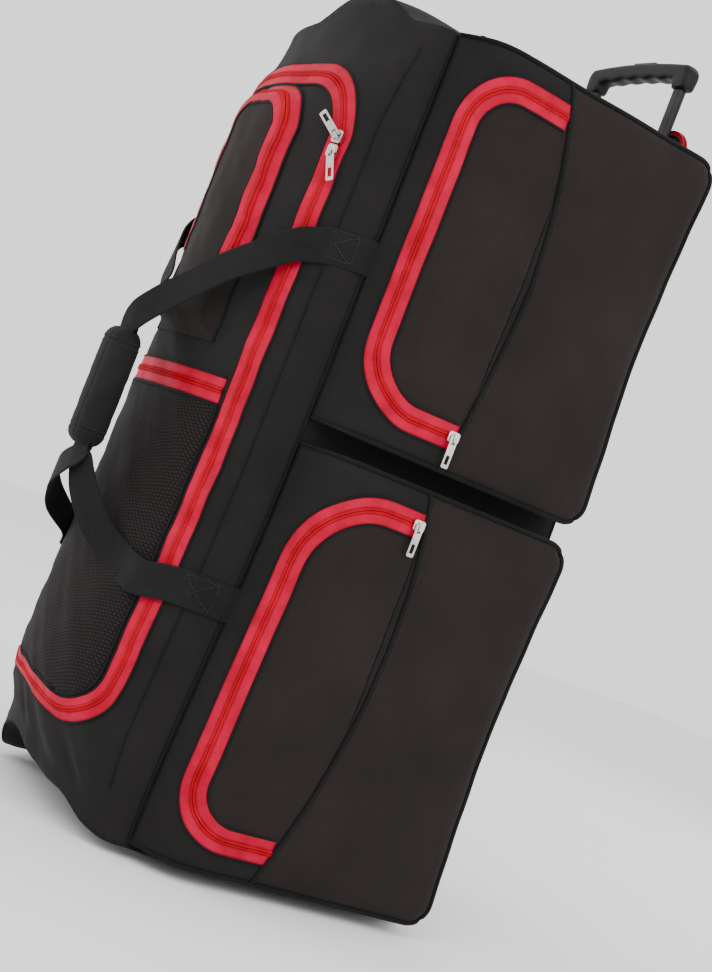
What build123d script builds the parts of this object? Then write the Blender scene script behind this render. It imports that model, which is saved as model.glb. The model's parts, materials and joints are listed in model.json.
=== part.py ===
from build123d import *
import math
import os

# Rolling duffel bag, standing on its wheels and front feet.
# Millimetres. +Z is up and along the bag. The lid faces -Y, the trolley handle is at +Y,
# and the side pockets face +X and -X. The floor is Z = 0.

# ---- driving dimensions ----
BODY_W = 356            # body without its side pockets
BODY_H = 912            # body without its feet
FLOOR_GAP = 12          # the fabric hangs this far above the floor
BACK_Y = 240            # outer face of the back panel
BODY_D = 350            # back panel to the seam of the lid face
DOME = 90               # the lid face stands this far in front of its seam
FABRIC = 3              # padded fabric with its lining
POCKET_OUT = 48         # side pockets stand this far out from the body
ZIP_W = 30              # whole zip, both tapes
TAPE = 1.2              # thickness of a zip's tape
COIL_W = 6.4            # the closed coil chain
COIL_H = 2.0            # the chain above its tape
WEBBING = (38, 2.5)     # carry straps
GAP = 0.5               # free space between pieces that part
LID_GAP = 1.5           # free space on each side of the line where the lid parts

# ---- places worked out from them ----
HALF_W = BODY_W / 2
BOTTOM = FLOOR_GAP
TOP = BOTTOM + BODY_H
SEAM_Y = BACK_Y - BODY_D

# lid: a rounded rectangle in the lid face, hinged along its left edge
LID_HALF_W = 135
LID_LOW = BOTTOM + 84
LID_HIGH = BOTTOM + 835
LID_R = 70
SHEET_OUT = 400         # longer than anything that the flat outlines cut

os.makedirs("parts", exist_ok=True)


def save(name, *solids):
    """Write the solids as one node."""
    shape = Compound(children=[s for s in solids])
    export_step(shape, f"parts/{name}.step")


def block(x0, x1, y0, y1, z0, z1):
    """A box between two corners."""
    return Pos((x0 + x1) / 2, (y0 + y1) / 2, (z0 + z1) / 2) * Box(x1 - x0, y1 - y0, z1 - z0)


def rod(axis_from, axis_to, radius):
    """A round bar between two points."""
    start = Vector(*axis_from)
    along = Vector(*axis_to) - start
    plane = Plane(origin=start, z_dir=along)
    return extrude(plane * Circle(radius), along.length)


def mirror_x(shape):
    return mirror(shape, about=Plane.YZ)


# ---- the body's cross-section: straight sides, square back, elliptic lid face ----
def section(inset):
    """The body's outline seen from above, moved in by inset."""
    half = HALF_W - inset
    back = BACK_Y - inset
    rise = DOME - inset
    with BuildSketch() as sketch:
        with BuildLine():
            Polyline((half, SEAM_Y), (half, back), (-half, back), (-half, SEAM_Y))
            EllipticalCenterArc((0, SEAM_Y), half, rise, start_angle=180, arc_size=180)
        make_face()
    return sketch.sketch


def tube_of(inset_out, inset_in, low=BOTTOM, high=TOP):
    """The body's wall between two insets."""
    outer = extrude(Pos(0, 0, low) * section(inset_out), high - low)
    inner = extrude(Pos(0, 0, low) * section(inset_in), high - low)
    return outer - inner


def front_only(shape):
    return shape & block(-SHEET_OUT, SHEET_OUT, SEAM_Y - SHEET_OUT, SEAM_Y, 0, 2 * TOP)


def face_outline(grow):
    """The lid's outline pushed through the lid face, grown by grow."""
    width = 2 * (LID_HALF_W + grow)
    height = LID_HIGH - LID_LOW + 2 * grow
    middle = (LID_HIGH + LID_LOW) / 2
    plane = Plane(origin=(0, SEAM_Y, middle), x_dir=(1, 0, 0), z_dir=(0, -1, 0))
    return extrude(plane * RectangleRounded(width, height, LID_R + grow), SHEET_OUT)


def dome_point(degrees, lift):
    """A point above the lid face, by the angle round its ellipse from the right seam."""
    t = math.radians(degrees)
    return (HALF_W + lift) * math.cos(t), SEAM_Y - (DOME + lift) * math.sin(t)


def dome_normal(x):
    """Outward normal of the lid face at x, in the XY plane."""
    y = DOME * math.sqrt(1 - (x / HALF_W) ** 2)
    normal = Vector(x / HALF_W ** 2, -y / DOME ** 2, 0)
    return normal.normalized(), SEAM_Y - y


# ---- wheels, axles and their corner housings ----
WHEEL_R = 30
WHEEL_W = 22
WHEEL_X = 151
WHEEL_Y = BACK_Y - 6
WELL_R = 33
WELL_W = 27
HOUSING = (128, HALF_W - FABRIC - 1, BACK_Y - 50, BACK_Y + 3, BOTTOM - 3, BOTTOM + 60)
AXLE_R = 4
AXLE_HALF = 19
HUB_R = 22
HUB_BORE_R = 9
TYRE_ROUND = 5
RUNNING = 0.05          # free space between a bearing and its axle
BEARING_R = 11
BEARING_W = 7
HOUSING_ROUND = 4
HOUSING_ROOM = block(
    HOUSING[0] - GAP, HALF_W - FABRIC, HOUSING[2] - GAP, BACK_Y + 2 * FABRIC, 0, HOUSING[5] + GAP
)


def wheel_end(x):
    return (x, WHEEL_Y, WHEEL_R)


def make_wheels():
    inner, outer = WHEEL_X - WELL_W / 2, WHEEL_X + WELL_W / 2
    housing = block(*HOUSING)
    housing = fillet(housing.edges().filter_by(Axis.Z), HOUSING_ROUND)
    housing -= rod(wheel_end(inner), wheel_end(outer), WELL_R)
    housing -= block(inner, outer, WHEEL_Y - WELL_R, BACK_Y + 2 * FABRIC, 0, WHEEL_R)
    housing -= block(inner, outer, WHEEL_Y, BACK_Y + 2 * FABRIC, 0, WHEEL_R + WELL_R)
    axle = rod(wheel_end(WHEEL_X - AXLE_HALF), wheel_end(WHEEL_X + AXLE_HALF), AXLE_R)
    housing -= axle
    half = WHEEL_W / 2
    hub = rod(wheel_end(WHEEL_X - half), wheel_end(WHEEL_X + half), HUB_R)
    hub -= rod(wheel_end(WHEEL_X - half), wheel_end(WHEEL_X + half), HUB_BORE_R)
    seats = []
    for end in (-1, 1):
        near = WHEEL_X + end * half
        far = WHEEL_X + end * (half - BEARING_W)
        seats.append(rod(wheel_end(near), wheel_end(far), BEARING_R))
    hub = hub - seats[0] - seats[1]
    bore = rod(wheel_end(WHEEL_X - half), wheel_end(WHEEL_X + half), AXLE_R + RUNNING)
    bearings = [seat - bore for seat in seats]
    tyre = rod(wheel_end(WHEEL_X - half), wheel_end(WHEEL_X + half), WHEEL_R)
    tyre = fillet(tyre.edges(), TYRE_ROUND)
    tyre -= rod(wheel_end(WHEEL_X - half), wheel_end(WHEEL_X + half), HUB_R)
    for side, turn in (("right", lambda s: s), ("left", mirror_x)):
        save(f"wheel_housing_{side}", turn(housing))
        save(f"wheel_hub_{side}", turn(hub))
        save(f"wheel_tyre_{side}", turn(tyre))
        save(f"wheel_bearings_{side}", *[turn(b) for b in bearings])
    save("wheel_axles", axle, mirror_x(axle))


# ---- front feet ----
FOOT = (100, 140, SEAM_Y + 20, SEAM_Y + 50)
FOOT_CORNER = 6
FOOT_EDGE = 3


def make_feet():
    foot = block(FOOT[0], FOOT[1], FOOT[2], FOOT[3], 0, BOTTOM)
    foot = fillet(foot.edges().filter_by(Axis.Z), FOOT_CORNER)
    foot = fillet(foot.faces().sort_by(Axis.Z)[0].edges(), FOOT_EDGE)
    save("front_feet", foot, mirror_x(foot))


# ---- body panels ----
BOARD_EDGE = (10, 6, 20)             # the board stays this far in from the sides, the housings and the top


def make_body():
    side = block(HALF_W - FABRIC, HALF_W, SEAM_Y, BACK_Y, BOTTOM, TOP)
    save("side_panels", side, mirror_x(side))
    inner = HALF_W - FABRIC
    back = block(-inner, inner, BACK_Y - FABRIC, BACK_Y, BOTTOM, TOP)
    back = back - HOUSING_ROOM - mirror_x(HOUSING_ROOM)
    save("back_panel", back)
    floor = extrude(Pos(0, 0, BOTTOM) * section(FABRIC), FABRIC)
    floor = floor - HOUSING_ROOM - mirror_x(HOUSING_ROOM)
    ceiling = extrude(Pos(0, 0, TOP - FABRIC) * section(FABRIC), FABRIC)
    save("bottom_end_panel", floor)
    save("top_end_panel", ceiling)
    front = front_only(tube_of(0, FABRIC))
    save("front_panel", front - face_outline(GAP / 2))
    sides, low, high = BOARD_EDGE
    board = block(
        -inner + sides, inner - sides, BACK_Y - 2 * FABRIC, BACK_Y - FABRIC, HOUSING[5] + low, TOP - high
    )
    save("back_stiffener_board", board)


# ---- lid with its zip, upper pocket and mesh pocket ----
LID_POCKET = (75, TOP - 392, TOP - 96, 8)        # half width, low, high, thickness
MESH = (ZIP_W / 2 + 4, LID_LOW + 374, 3)          # inside the lid's edge, top, thickness
LID_END = -118                                   # where the main zip stops on the left
LIFT = 0.1                                       # free space under what is sewn on the lid
POUCH_R = (30, 10)                               # corners of the upper pocket and of its zip's inner edge
POUCH_ZIP_LOW = 110                              # that zip stops this far above the pocket's foot


def on_face(outline, lift_low, lift_high):
    """A layer on the lid face inside an outline."""
    return front_only(tube_of(-lift_high, -lift_low)) & outline


def face_rect(half_w, low, high, radius):
    plane = Plane(origin=(0, SEAM_Y, (low + high) / 2), x_dir=(1, 0, 0), z_dir=(0, -1, 0))
    return extrude(plane * RectangleRounded(2 * half_w, high - low, radius), SHEET_OUT)


def zip_half(outer, inner, coil_outer, coil_inner):
    """One tape of the main zip with its half of the coil."""
    tape = on_face(outer - inner, 0, TAPE)
    coil = on_face(coil_outer - coil_inner, 0, TAPE + COIL_H)
    return tape + coil


def make_lid():
    lid = front_only(tube_of(0, FABRIC)) & face_outline(-LID_GAP)
    save("lid_panel", lid)
    half = ZIP_W / 2
    coil = COIL_W / 2
    keep = block(LID_END, SHEET_OUT, -SHEET_OUT, SEAM_Y, 0, TOP)
    edge = face_outline(LID_GAP)
    outer = zip_half(face_outline(half), edge, face_outline(coil), edge)
    edge = face_outline(-LID_GAP)
    inner = zip_half(edge, face_outline(-half), edge, face_outline(-coil))
    save("main_zip_body_tape", outer & keep)
    save("main_zip_lid_tape", inner & keep)
    half_w, low, high, thick = LID_POCKET
    outer_r, inner_r = POUCH_R
    pouch = on_face(face_rect(half_w, low, high, outer_r), LIFT, thick)
    save("lid_pocket", pouch)
    band = face_rect(half_w, low, high, outer_r) - face_rect(half_w - ZIP_W, low, high - ZIP_W, inner_r)
    band &= block(-SHEET_OUT, SHEET_OUT, -SHEET_OUT, SEAM_Y, low + POUCH_ZIP_LOW, TOP)
    save("lid_pocket_zip", on_face(band, thick + LIFT, thick + TAPE))
    edge, high, thick = MESH
    within = face_outline(-edge)
    mesh = within & block(-SHEET_OUT, SHEET_OUT, -SHEET_OUT, SEAM_Y, 0, high)
    save("mesh_pocket", on_face(mesh, LIFT, thick))
    strip = within & block(-SHEET_OUT, SHEET_OUT, -SHEET_OUT, SEAM_Y, high + GAP, high + GAP + ZIP_W)
    save("mesh_pocket_zip", on_face(strip, LIFT, TAPE))


# ---- side pockets ----
POCKETS = {"upper": (TOP - 432, TOP), "lower": (BOTTOM + 5, BOTTOM + 454)}
POCKET_X = HALF_W + POCKET_OUT
POCKET_FRONT = SEAM_Y + 6            # foot of the slanted front wall
POCKET_EDGE = SEAM_Y + 38            # where that wall meets the outer face
POCKET_BACK = BACK_Y - 3
POCKET_R = 16
FLAP_HINGE = BACK_Y - 192            # the line that each flap folds back on
FLAP_X = HALF_W + 34                 # the front zip's coil, on the slanted wall
FLAP_END = 37                        # the flap starts this far from the pocket's ends
HALF_ZIP = ZIP_W / 2
FRONT_LEG = 12                       # half of that zip's width as it lies across the slanted wall


def pocket_prism(inset, low, high):
    """A pocket's solid outline, moved in by inset, from the body's side outwards."""
    with BuildSketch() as sketch:
        with BuildLine():
            Polyline(
                (HALF_W, POCKET_FRONT + 2 * inset),
                (POCKET_X - inset, POCKET_EDGE + inset / 2),
                (POCKET_X - inset, POCKET_BACK - inset),
                (HALF_W, POCKET_BACK - inset),
                close=True,
            )
        make_face()
        corners = sketch.vertices().group_by(Axis.X)[-1]
        fillet(corners.sort_by(Axis.Y)[-1], POCKET_R - inset)
    return extrude(Pos(0, 0, low + inset) * sketch.sketch, high - low - 2 * inset)


def make_pocket(row):
    low, high = POCKETS[row]
    outer = pocket_prism(0, low, high)
    skin = outer - pocket_prism(FABRIC, low, high)
    skin -= block(0, HALF_W + LIFT, -SHEET_OUT, SHEET_OUT, 0, 2 * TOP)
    room = block(FLAP_X, SHEET_OUT, -SHEET_OUT, FLAP_HINGE, low + FLAP_END, high - FLAP_END)
    gap = GAP / 2
    near = block(
        FLAP_X - gap, SHEET_OUT, -SHEET_OUT, FLAP_HINGE + gap, low + FLAP_END - gap, high - FLAP_END + gap
    )
    shell = skin - near
    flap = skin & block(
        FLAP_X + gap, SHEET_OUT, -SHEET_OUT, FLAP_HINGE - gap, low + FLAP_END + gap, high - FLAP_END - gap
    )
    around = block(
        FLAP_X - FRONT_LEG, SHEET_OUT, -SHEET_OUT, FLAP_HINGE - gap,
        low + FLAP_END - HALF_ZIP, high - FLAP_END + HALF_ZIP
    )
    tape = (pocket_prism(-TAPE, low - TAPE, high + TAPE) - pocket_prism(-LIFT, low, high)) & around
    tape = tape - room - near
    return shell, flap, tape


# ---- zip sliders and their pulls ----
SLIDER = (14, 12, 4.6)
SLIDER_LIFT = 0.8
CHANNEL_ROOM = 0.9      # free space between a slider and its coil
SLIDER_ROUND = 3
CROWN = (9, 3, 4.2)     # the loop on the slider that holds its pull
CROWN_HOLE = (5.2, 2.8) # the loop's opening
CROWN_SILL = 0.4        # the opening's foot above the slider
PULL_L = 34
PULL_W = 9
PULL_T = 1.6
PULL_ROUND = 2
BAR = 1.4               # the pull's bar, inside the loop
BAR_BACK = 0.4          # the pull ends this far behind its bar
EYE = (7.5, 4.6)        # the pull's opening around the loop: its far end, and its width
GRIP_HOLE = (14, 4, 4.4)        # the long hole near the pull's tip: from, to, width


def slider_shapes(place, turn):
    """A slider and its pull on a zip. place: X along the zip, Z outwards; turn: the pull's direction."""
    length, width, height = SLIDER
    low = TAPE + SLIDER_LIFT
    body = block(-length / 2, length / 2, -width / 2, width / 2, low, low + height)
    body = fillet(body.edges().filter_by(Axis.Z), SLIDER_ROUND)
    channel = COIL_W / 2 + 1
    body -= block(-length, length, -channel, channel, 0, TAPE + COIL_H + CHANNEL_ROOM)
    roof = low + height
    crown = block(-CROWN[0] / 2, CROWN[0] / 2, -CROWN[1] / 2, CROWN[1] / 2, roof, roof + CROWN[2])
    hole_x = CROWN_HOLE[0] / 2
    sill = roof + CROWN_SILL
    crown -= block(-hole_x, hole_x, -CROWN[1], CROWN[1], sill, sill + CROWN_HOLE[1])
    bar_z = sill + CROWN_HOLE[1] / 2
    back = -BAR / 2 - BAR_BACK
    pull = block(back, PULL_L, -PULL_W / 2, PULL_W / 2, bar_z - PULL_T / 2, bar_z + PULL_T / 2)
    pull -= block(BAR / 2, EYE[0], -EYE[1] / 2, EYE[1] / 2, 0, 2 * roof)
    pull -= block(2 * back, -BAR / 2, -EYE[1] / 2, EYE[1] / 2, 0, 2 * roof)
    tip = pull.edges().filter_by(Axis.Z).group_by(Axis.X)[-1]
    pull = fillet(tip, PULL_ROUND)
    start, end, width = GRIP_HOLE
    pull -= block(PULL_L - start, PULL_L - end, -width / 2, width / 2, 0, 2 * roof)
    spin = Rot(0, 0, turn)
    body = body + spin * crown
    location = Location(place)
    axis_at = place.from_local_coords(Vector(0, 0, bar_z))
    return location * body, location * (spin * pull), axis_at


ZIP_STOP = 13           # a closed slider stays this far in front of the flap's hinge line


def pocket_slider(row):
    """The slider at the back end of the pocket's lower or upper short leg; its pull hangs down."""
    low, high = POCKETS[row]
    z = low + FLAP_END if row == "upper" else high - FLAP_END
    place = Plane(origin=(POCKET_X, FLAP_HINGE - ZIP_STOP, z), x_dir=(0, 1, 0), z_dir=(1, 0, 0))
    return slider_shapes(place, -90)


COIL_SIDE = 0.6          # free space beside the coil inside a main slider
MAIN_SLIDERS = {"upper": (TOP - 148, -128), "lower": (TOP - 164, 22)}


def main_slider(name):
    z, turn = MAIN_SLIDERS[name]
    normal, y = dome_normal(LID_HALF_W)
    place = Plane(origin=(LID_HALF_W, y, z), x_dir=(0, 0, -1), z_dir=normal)
    body, pull, axis_at = slider_shapes(place, turn)
    reach = COIL_W / 2 + COIL_SIDE
    coil_room = on_face(face_outline(reach) - face_outline(-reach), -FABRIC, TAPE + COIL_H + CHANNEL_ROOM)
    return body - coil_room, pull, axis_at


def make_sliders():
    spots = {}
    for row in POCKETS:
        slider, pull, at = pocket_slider(row)
        spots[row] = at
        save(f"{row}_right_pocket_slider", slider)
        save(f"{row}_right_pocket_pull", pull)
        save(f"{row}_left_pocket_slider", mirror_x(slider))
        save(f"{row}_left_pocket_pull", mirror_x(pull))
    for name in MAIN_SLIDERS:
        slider, pull, at = main_slider(name)
        spots[name + " main"] = at
        save(f"main_slider_{name}", slider)
        save(f"main_pull_{name}", pull)
    return spots


# ---- carry straps and their wrap ----
WRAP = (23, 12, 67.5)                # half sizes of the padded wrap
WRAP_Y = BACK_Y - 496
WRAP_Z = TOP - 477
STRAP_HIGH = TOP - 255
STRAP_LOW = TOP - 640
WRAP_ROUND = 9
WRAP_BORE = (20, 4)                  # half sizes of the slot that the straps go through
ANCHOR = (9, 5)                      # angle round the lid face, and height above it, of an anchor
LEAVE = (38, 9)                      # the same where the webbing lifts off the lid
TWIST = (40, 30, 0.35)               # a twisting station: right of and behind the wrap, and its lean
ENTRY = (8, 4, 0.25)                 # stations just outside and inside the wrap, and the outer one's lean
SLOPE = (14, 45, -60, -4)            # how far the stations between are above or below anchor or wrap


def band(stations):
    """A webbing band through stations of (point, across, outwards)."""
    width, thick = WEBBING
    faces = []
    for point, across, outward in stations:
        a = Vector(*across).normalized() * (width / 2)
        n = Vector(*outward).normalized() * (thick / 2)
        p = Vector(*point)
        corners = [p - a - n, p + a - n, p + a + n, p - a + n]
        faces.append(Face(Wire.make_polygon(corners, close=True)))
    return Solid.make_loft([f.outer_wire() for f in faces], ruled=True)


def strap(layer):
    """The right strap, from its upper anchor round the wrap's inside to its lower anchor."""
    def over(degrees, lift, z):
        x, y = dome_point(degrees, lift)
        t = math.radians(degrees)
        return (x, y, z), (0, 0, 1), (math.cos(t) / HALF_W, -math.sin(t) / DOME, 0)
    inside = WRAP_Y + layer
    half = WRAP[2]
    up, down = WRAP_Z + half, WRAP_Z - half
    aside, behind, lean = TWIST
    out, within, tip = ENTRY
    front = (0, -1, 0)
    slanted = (0.4, -1, 0)
    stations = [
        over(*ANCHOR, STRAP_HIGH),
        over(*LEAVE, STRAP_HIGH - SLOPE[0]),
        ((aside, WRAP_Y + behind, up + SLOPE[1]), (lean, 0, 1), slanted),
        ((0, inside, up + out), (1, 0, tip), front),
        ((0, inside, up - within), (1, 0, 0), front),
        ((0, inside, down + within), (1, 0, 0), front),
        ((0, inside, down - out), (1, 0, -tip), front),
        ((aside, WRAP_Y + behind, down + SLOPE[2]), (lean, 0, -1), slanted),
        over(*LEAVE, STRAP_LOW + SLOPE[3]),
        over(*ANCHOR, STRAP_LOW),
    ]
    return band(stations)


def make_straps():
    right = strap(-2)
    left = mirror_x(strap(2))
    x, y, z = WRAP
    wrap = block(-x, x, WRAP_Y - y, WRAP_Y + y, WRAP_Z - z, WRAP_Z + z)
    wrap = fillet(wrap.edges().filter_by(Axis.Z), WRAP_ROUND)
    bore_x, bore_y = WRAP_BORE
    wrap -= block(-bore_x, bore_x, WRAP_Y - bore_y, WRAP_Y + bore_y, 0, 2 * TOP)
    save("right_carry_strap", right)
    save("left_carry_strap", left)
    save("handle_wrap", wrap)


# ---- D-ring on its tab at the top right ----
RING_R = 10
RING_WIRE = 1.6
RING_Y = SEAM_Y + 40
RING_X = HALF_W - 10
RING_BAR_Z = TOP + 3.2
TAB = (4, 6, 2)                      # half sizes of its tab, and the round of the tab's top edges
RING_ROOM = 0.4                      # free space around the wire in the tab


def make_ring():
    place = Plane(origin=(RING_X, RING_Y, RING_BAR_Z), x_dir=(0, 1, 0), z_dir=(1, 0, 0))
    bow = Location(place) * Torus(RING_R, RING_WIRE, major_angle=180, align=None)
    bar = rod((RING_X, RING_Y - RING_R, RING_BAR_Z), (RING_X, RING_Y + RING_R, RING_BAR_Z), RING_WIRE)
    ends = [Pos(RING_X, RING_Y + end * RING_R, RING_BAR_Z) * Sphere(RING_WIRE) for end in (-1, 1)]
    save("d_ring", bow + bar + ends[0] + ends[1])
    half_x, half_y, rounding = TAB
    over = RING_BAR_Z - TOP
    tab = block(RING_X - half_x, RING_X + half_x, RING_Y - half_y, RING_Y + half_y, TOP, TOP + 2 * over)
    tab = fillet(tab.edges().filter_by(Axis.Y).group_by(Axis.Z)[-1], rounding)
    tab -= rod(
        (RING_X, RING_Y - RING_R, RING_BAR_Z), (RING_X, RING_Y + RING_R, RING_BAR_Z), RING_WIRE + RING_ROOM
    )
    save("d_ring_tab", tab)


# ---- trolley handle ----
TUBE_X = 84
TUBE_Y = BACK_Y + 11
TUBE_ROUND = 4
BRACKET = (112, 0.5, 22, 4)          # half width, near and far side from the back panel, corner rounds
GUIDE_Z = (TOP - 20, TOP + 3)
GUIDE_GAP = (64, 19, 4)              # the guide's hollow middle: half width, depth, roof thickness
SLIDE_ROOM = 0.3                     # free space between the guide and the sliding tubes
FOOT_HALF = 100
FOOT_H = 16
OUTER_TUBE = (22, 17, 1.0, BOTTOM + 60, TOP - 20)
MID_TUBE = (19.4, 14.4, 1.2, BOTTOM + 380, TOP + 4)
UPPER_TUBE = (16.2, 11.2, 1.2, BOTTOM + 480, TOP + 108)
GRIP_LOW = TOP + 104
GRIP_TOP = TOP + 139
GRIP_HALF = 104
GRIP_DROP = 12                       # the grip's top falls this far to its ends
GRIP_SOCKET = 34                     # width of each socket around a tube
GRIP_ARCH = 11                       # the finger side rises this far between them
GRIP_DEPTH = 12                      # half depth
GRIP_ROUND = 5
GRIP_EDGE = 2
BUTTON_HALF = 22
BUTTON_DEPTH = 5
BUTTON_ROOM = 0.4
BUTTON_FOOT = 8                      # the button reaches this far into the grip
BUTTON_PROUD = 2.5
BUTTON_ROUNDS = (3, 1.5)
SPRING_R = (4, 3)
SPRING_H = 9


def box_tube(size):
    width, depth, wall, low, high = size
    middle = Pos(TUBE_X, TUBE_Y, low)
    outline = extrude(middle * RectangleRounded(width, depth, TUBE_ROUND), high - low)
    inside = middle * RectangleRounded(width - 2 * wall, depth - 2 * wall, TUBE_ROUND - wall)
    inside = extrude(inside, high - low)
    return outline - inside


def tube_outline(size, grow, low, high):
    sketch = RectangleRounded(size[0] + 2 * grow, size[1] + 2 * grow, TUBE_ROUND + grow)
    right = extrude(Pos(TUBE_X, TUBE_Y, low) * sketch, high - low)
    return right + mirror_x(right)


def make_trolley():
    for name, size in (("outer_tubes", OUTER_TUBE), ("middle_tubes", MID_TUBE), ("upper_tubes", UPPER_TUBE)):
        tube = box_tube(size)
        save(name, tube, mirror_x(tube))
    low, high = GUIDE_Z
    half, near, far, rounding = BRACKET
    gap_half, gap_depth, roof = GUIDE_GAP
    guide = block(-half, half, BACK_Y + near, BACK_Y + far, low, high)
    guide = fillet(guide.edges().filter_by(Axis.Z), rounding)
    guide -= block(-gap_half, gap_half, BACK_Y, BACK_Y + gap_depth, low, high - roof)
    guide -= tube_outline(MID_TUBE, SLIDE_ROOM, low, high)
    save("tube_guide", guide)
    foot_top = OUTER_TUBE[3]
    foot = block(-FOOT_HALF, FOOT_HALF, BACK_Y + near, BACK_Y + far, foot_top - FOOT_H, foot_top)
    foot = fillet(foot.edges().filter_by(Axis.Z), rounding)
    save("tube_foot_bracket", foot)
    make_grip()


def make_grip():
    rise = GRIP_TOP - GRIP_LOW
    inner = GRIP_HALF - GRIP_SOCKET
    plane = Plane(origin=(0, TUBE_Y, GRIP_LOW), x_dir=(1, 0, 0), z_dir=(0, -1, 0))
    with BuildSketch(plane) as outline:
        with BuildLine():
            top = ThreePointArc((GRIP_HALF, rise - GRIP_DROP), (0, rise), (-GRIP_HALF, rise - GRIP_DROP))
            Line(top @ 1, (-GRIP_HALF, 0))
            Line((-GRIP_HALF, 0), (-inner, 0))
            under = ThreePointArc((-inner, 0), (0, GRIP_ARCH), (inner, 0))
            Line(under @ 1, (GRIP_HALF, 0))
            Line((GRIP_HALF, 0), top @ 0)
        make_face()
    grip = extrude(outline.sketch, GRIP_DEPTH, both=True)
    grip = fillet(grip.edges().filter_by(Axis.Y), GRIP_ROUND)
    grip = chamfer(grip.faces().filter_by(Axis.Y).edges(), GRIP_EDGE)
    sockets = tube_outline(UPPER_TUBE, 0, GRIP_LOW, UPPER_TUBE[4])
    half = BUTTON_HALF + BUTTON_ROOM
    depth = BUTTON_DEPTH + BUTTON_ROOM
    foot = GRIP_TOP - BUTTON_FOOT
    well = block(-half, half, TUBE_Y - depth, TUBE_Y + depth, foot - SPRING_H, GRIP_TOP + GRIP_ROUND)
    save("trolley_grip", grip - sockets - well)
    stem = block(
        -BUTTON_HALF, BUTTON_HALF, TUBE_Y - BUTTON_DEPTH, TUBE_Y + BUTTON_DEPTH, foot, GRIP_TOP + BUTTON_PROUD
    )
    stem = fillet(stem.edges().filter_by(Axis.Z), BUTTON_ROUNDS[0])
    save("release_button", fillet(stem.faces().sort_by(Axis.Z)[-1].edges(), BUTTON_ROUNDS[1]))
    ring = Circle(SPRING_R[0]) - Circle(SPRING_R[1])
    save("button_spring", Pos(0, TUBE_Y, foot - SPRING_H) * extrude(ring, SPRING_H))


# ---- rear cover over the tubes, and its zipped flap ----
COVER_X = 118
COVER_OUT = 25
COVER_LOW = BOTTOM + 36
FLAP_TOP = TOP + 58
FLAP_FOOT = TOP - 6
FLAP_R = 32
FLAP_T = 2
FLAP_CLEAR = 0.2         # free space behind the flap
FLAP_TAPE_T = 0.75
COVER_ROUND = 8
COVER_WALL = 2
COVER_TOP = TOP - 8
FLAP_ZIP = 14            # one tape of the flap's zip, left on its edge


def make_rear_cover():
    cover = block(-COVER_X, COVER_X, BACK_Y + LIFT, BACK_Y + COVER_OUT, COVER_LOW, COVER_TOP)
    cover = fillet(cover.edges().filter_by(Axis.Z).sort_by(Axis.Y)[-2:], COVER_ROUND)
    half = COVER_X - COVER_WALL
    cover -= block(-half, half, BACK_Y - FABRIC, BACK_Y + COVER_OUT - COVER_WALL, COVER_LOW + COVER_WALL, TOP)
    save("rear_cover", cover)
    back = BACK_Y + COVER_OUT
    height = FLAP_TOP - FLAP_FOOT

    def arch(inset):
        """A sheet with two round upper corners, moved in from its top and sides."""
        plane = Plane(origin=(0, back + FLAP_CLEAR, FLAP_FOOT), x_dir=(-1, 0, 0), z_dir=(0, 1, 0))
        half, top, radius = COVER_X - inset, height - inset, FLAP_R - inset
        with BuildSketch(plane) as sketch:
            with BuildLine():
                FilletPolyline((half, 0), (half, top), (-half, top), (-half, 0), radius=radius)
                Line((-half, 0), (half, 0))
            make_face()
        return sketch.sketch

    flap = extrude(arch(0), FLAP_T)
    rim = extrude(arch(0), FLAP_TAPE_T) - extrude(arch(FLAP_ZIP), FLAP_TAPE_T)
    zip_band = Pos(0, FLAP_T + RUNNING, 0) * rim
    save("handle_flap", flap)
    save("handle_flap_zip", zip_band)


def make_pockets():
    tapes = []
    for row in POCKETS:
        shell, flap, tape = make_pocket(row)
        save(f"{row}_right_pocket", shell)
        save(f"{row}_right_pocket_flap", flap)
        save(f"{row}_left_pocket", mirror_x(shell))
        save(f"{row}_left_pocket_flap", mirror_x(flap))
        tapes += [tape, mirror_x(tape)]
    save("side_pocket_zips", *tapes)


make_body()
make_lid()
make_pockets()
pull_axes = make_sliders()
make_straps()
make_ring()
make_trolley()
make_rear_cover()
make_wheels()
make_feet()
print({name: tuple(round(v, 2) for v in at) for name, at in pull_axes.items()})
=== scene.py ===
import json
import math

import bmesh
import bpy
import numpy as np
from mathutils import Matrix, Vector
from mathutils.geometry import delaunay_2d_cdt


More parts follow.
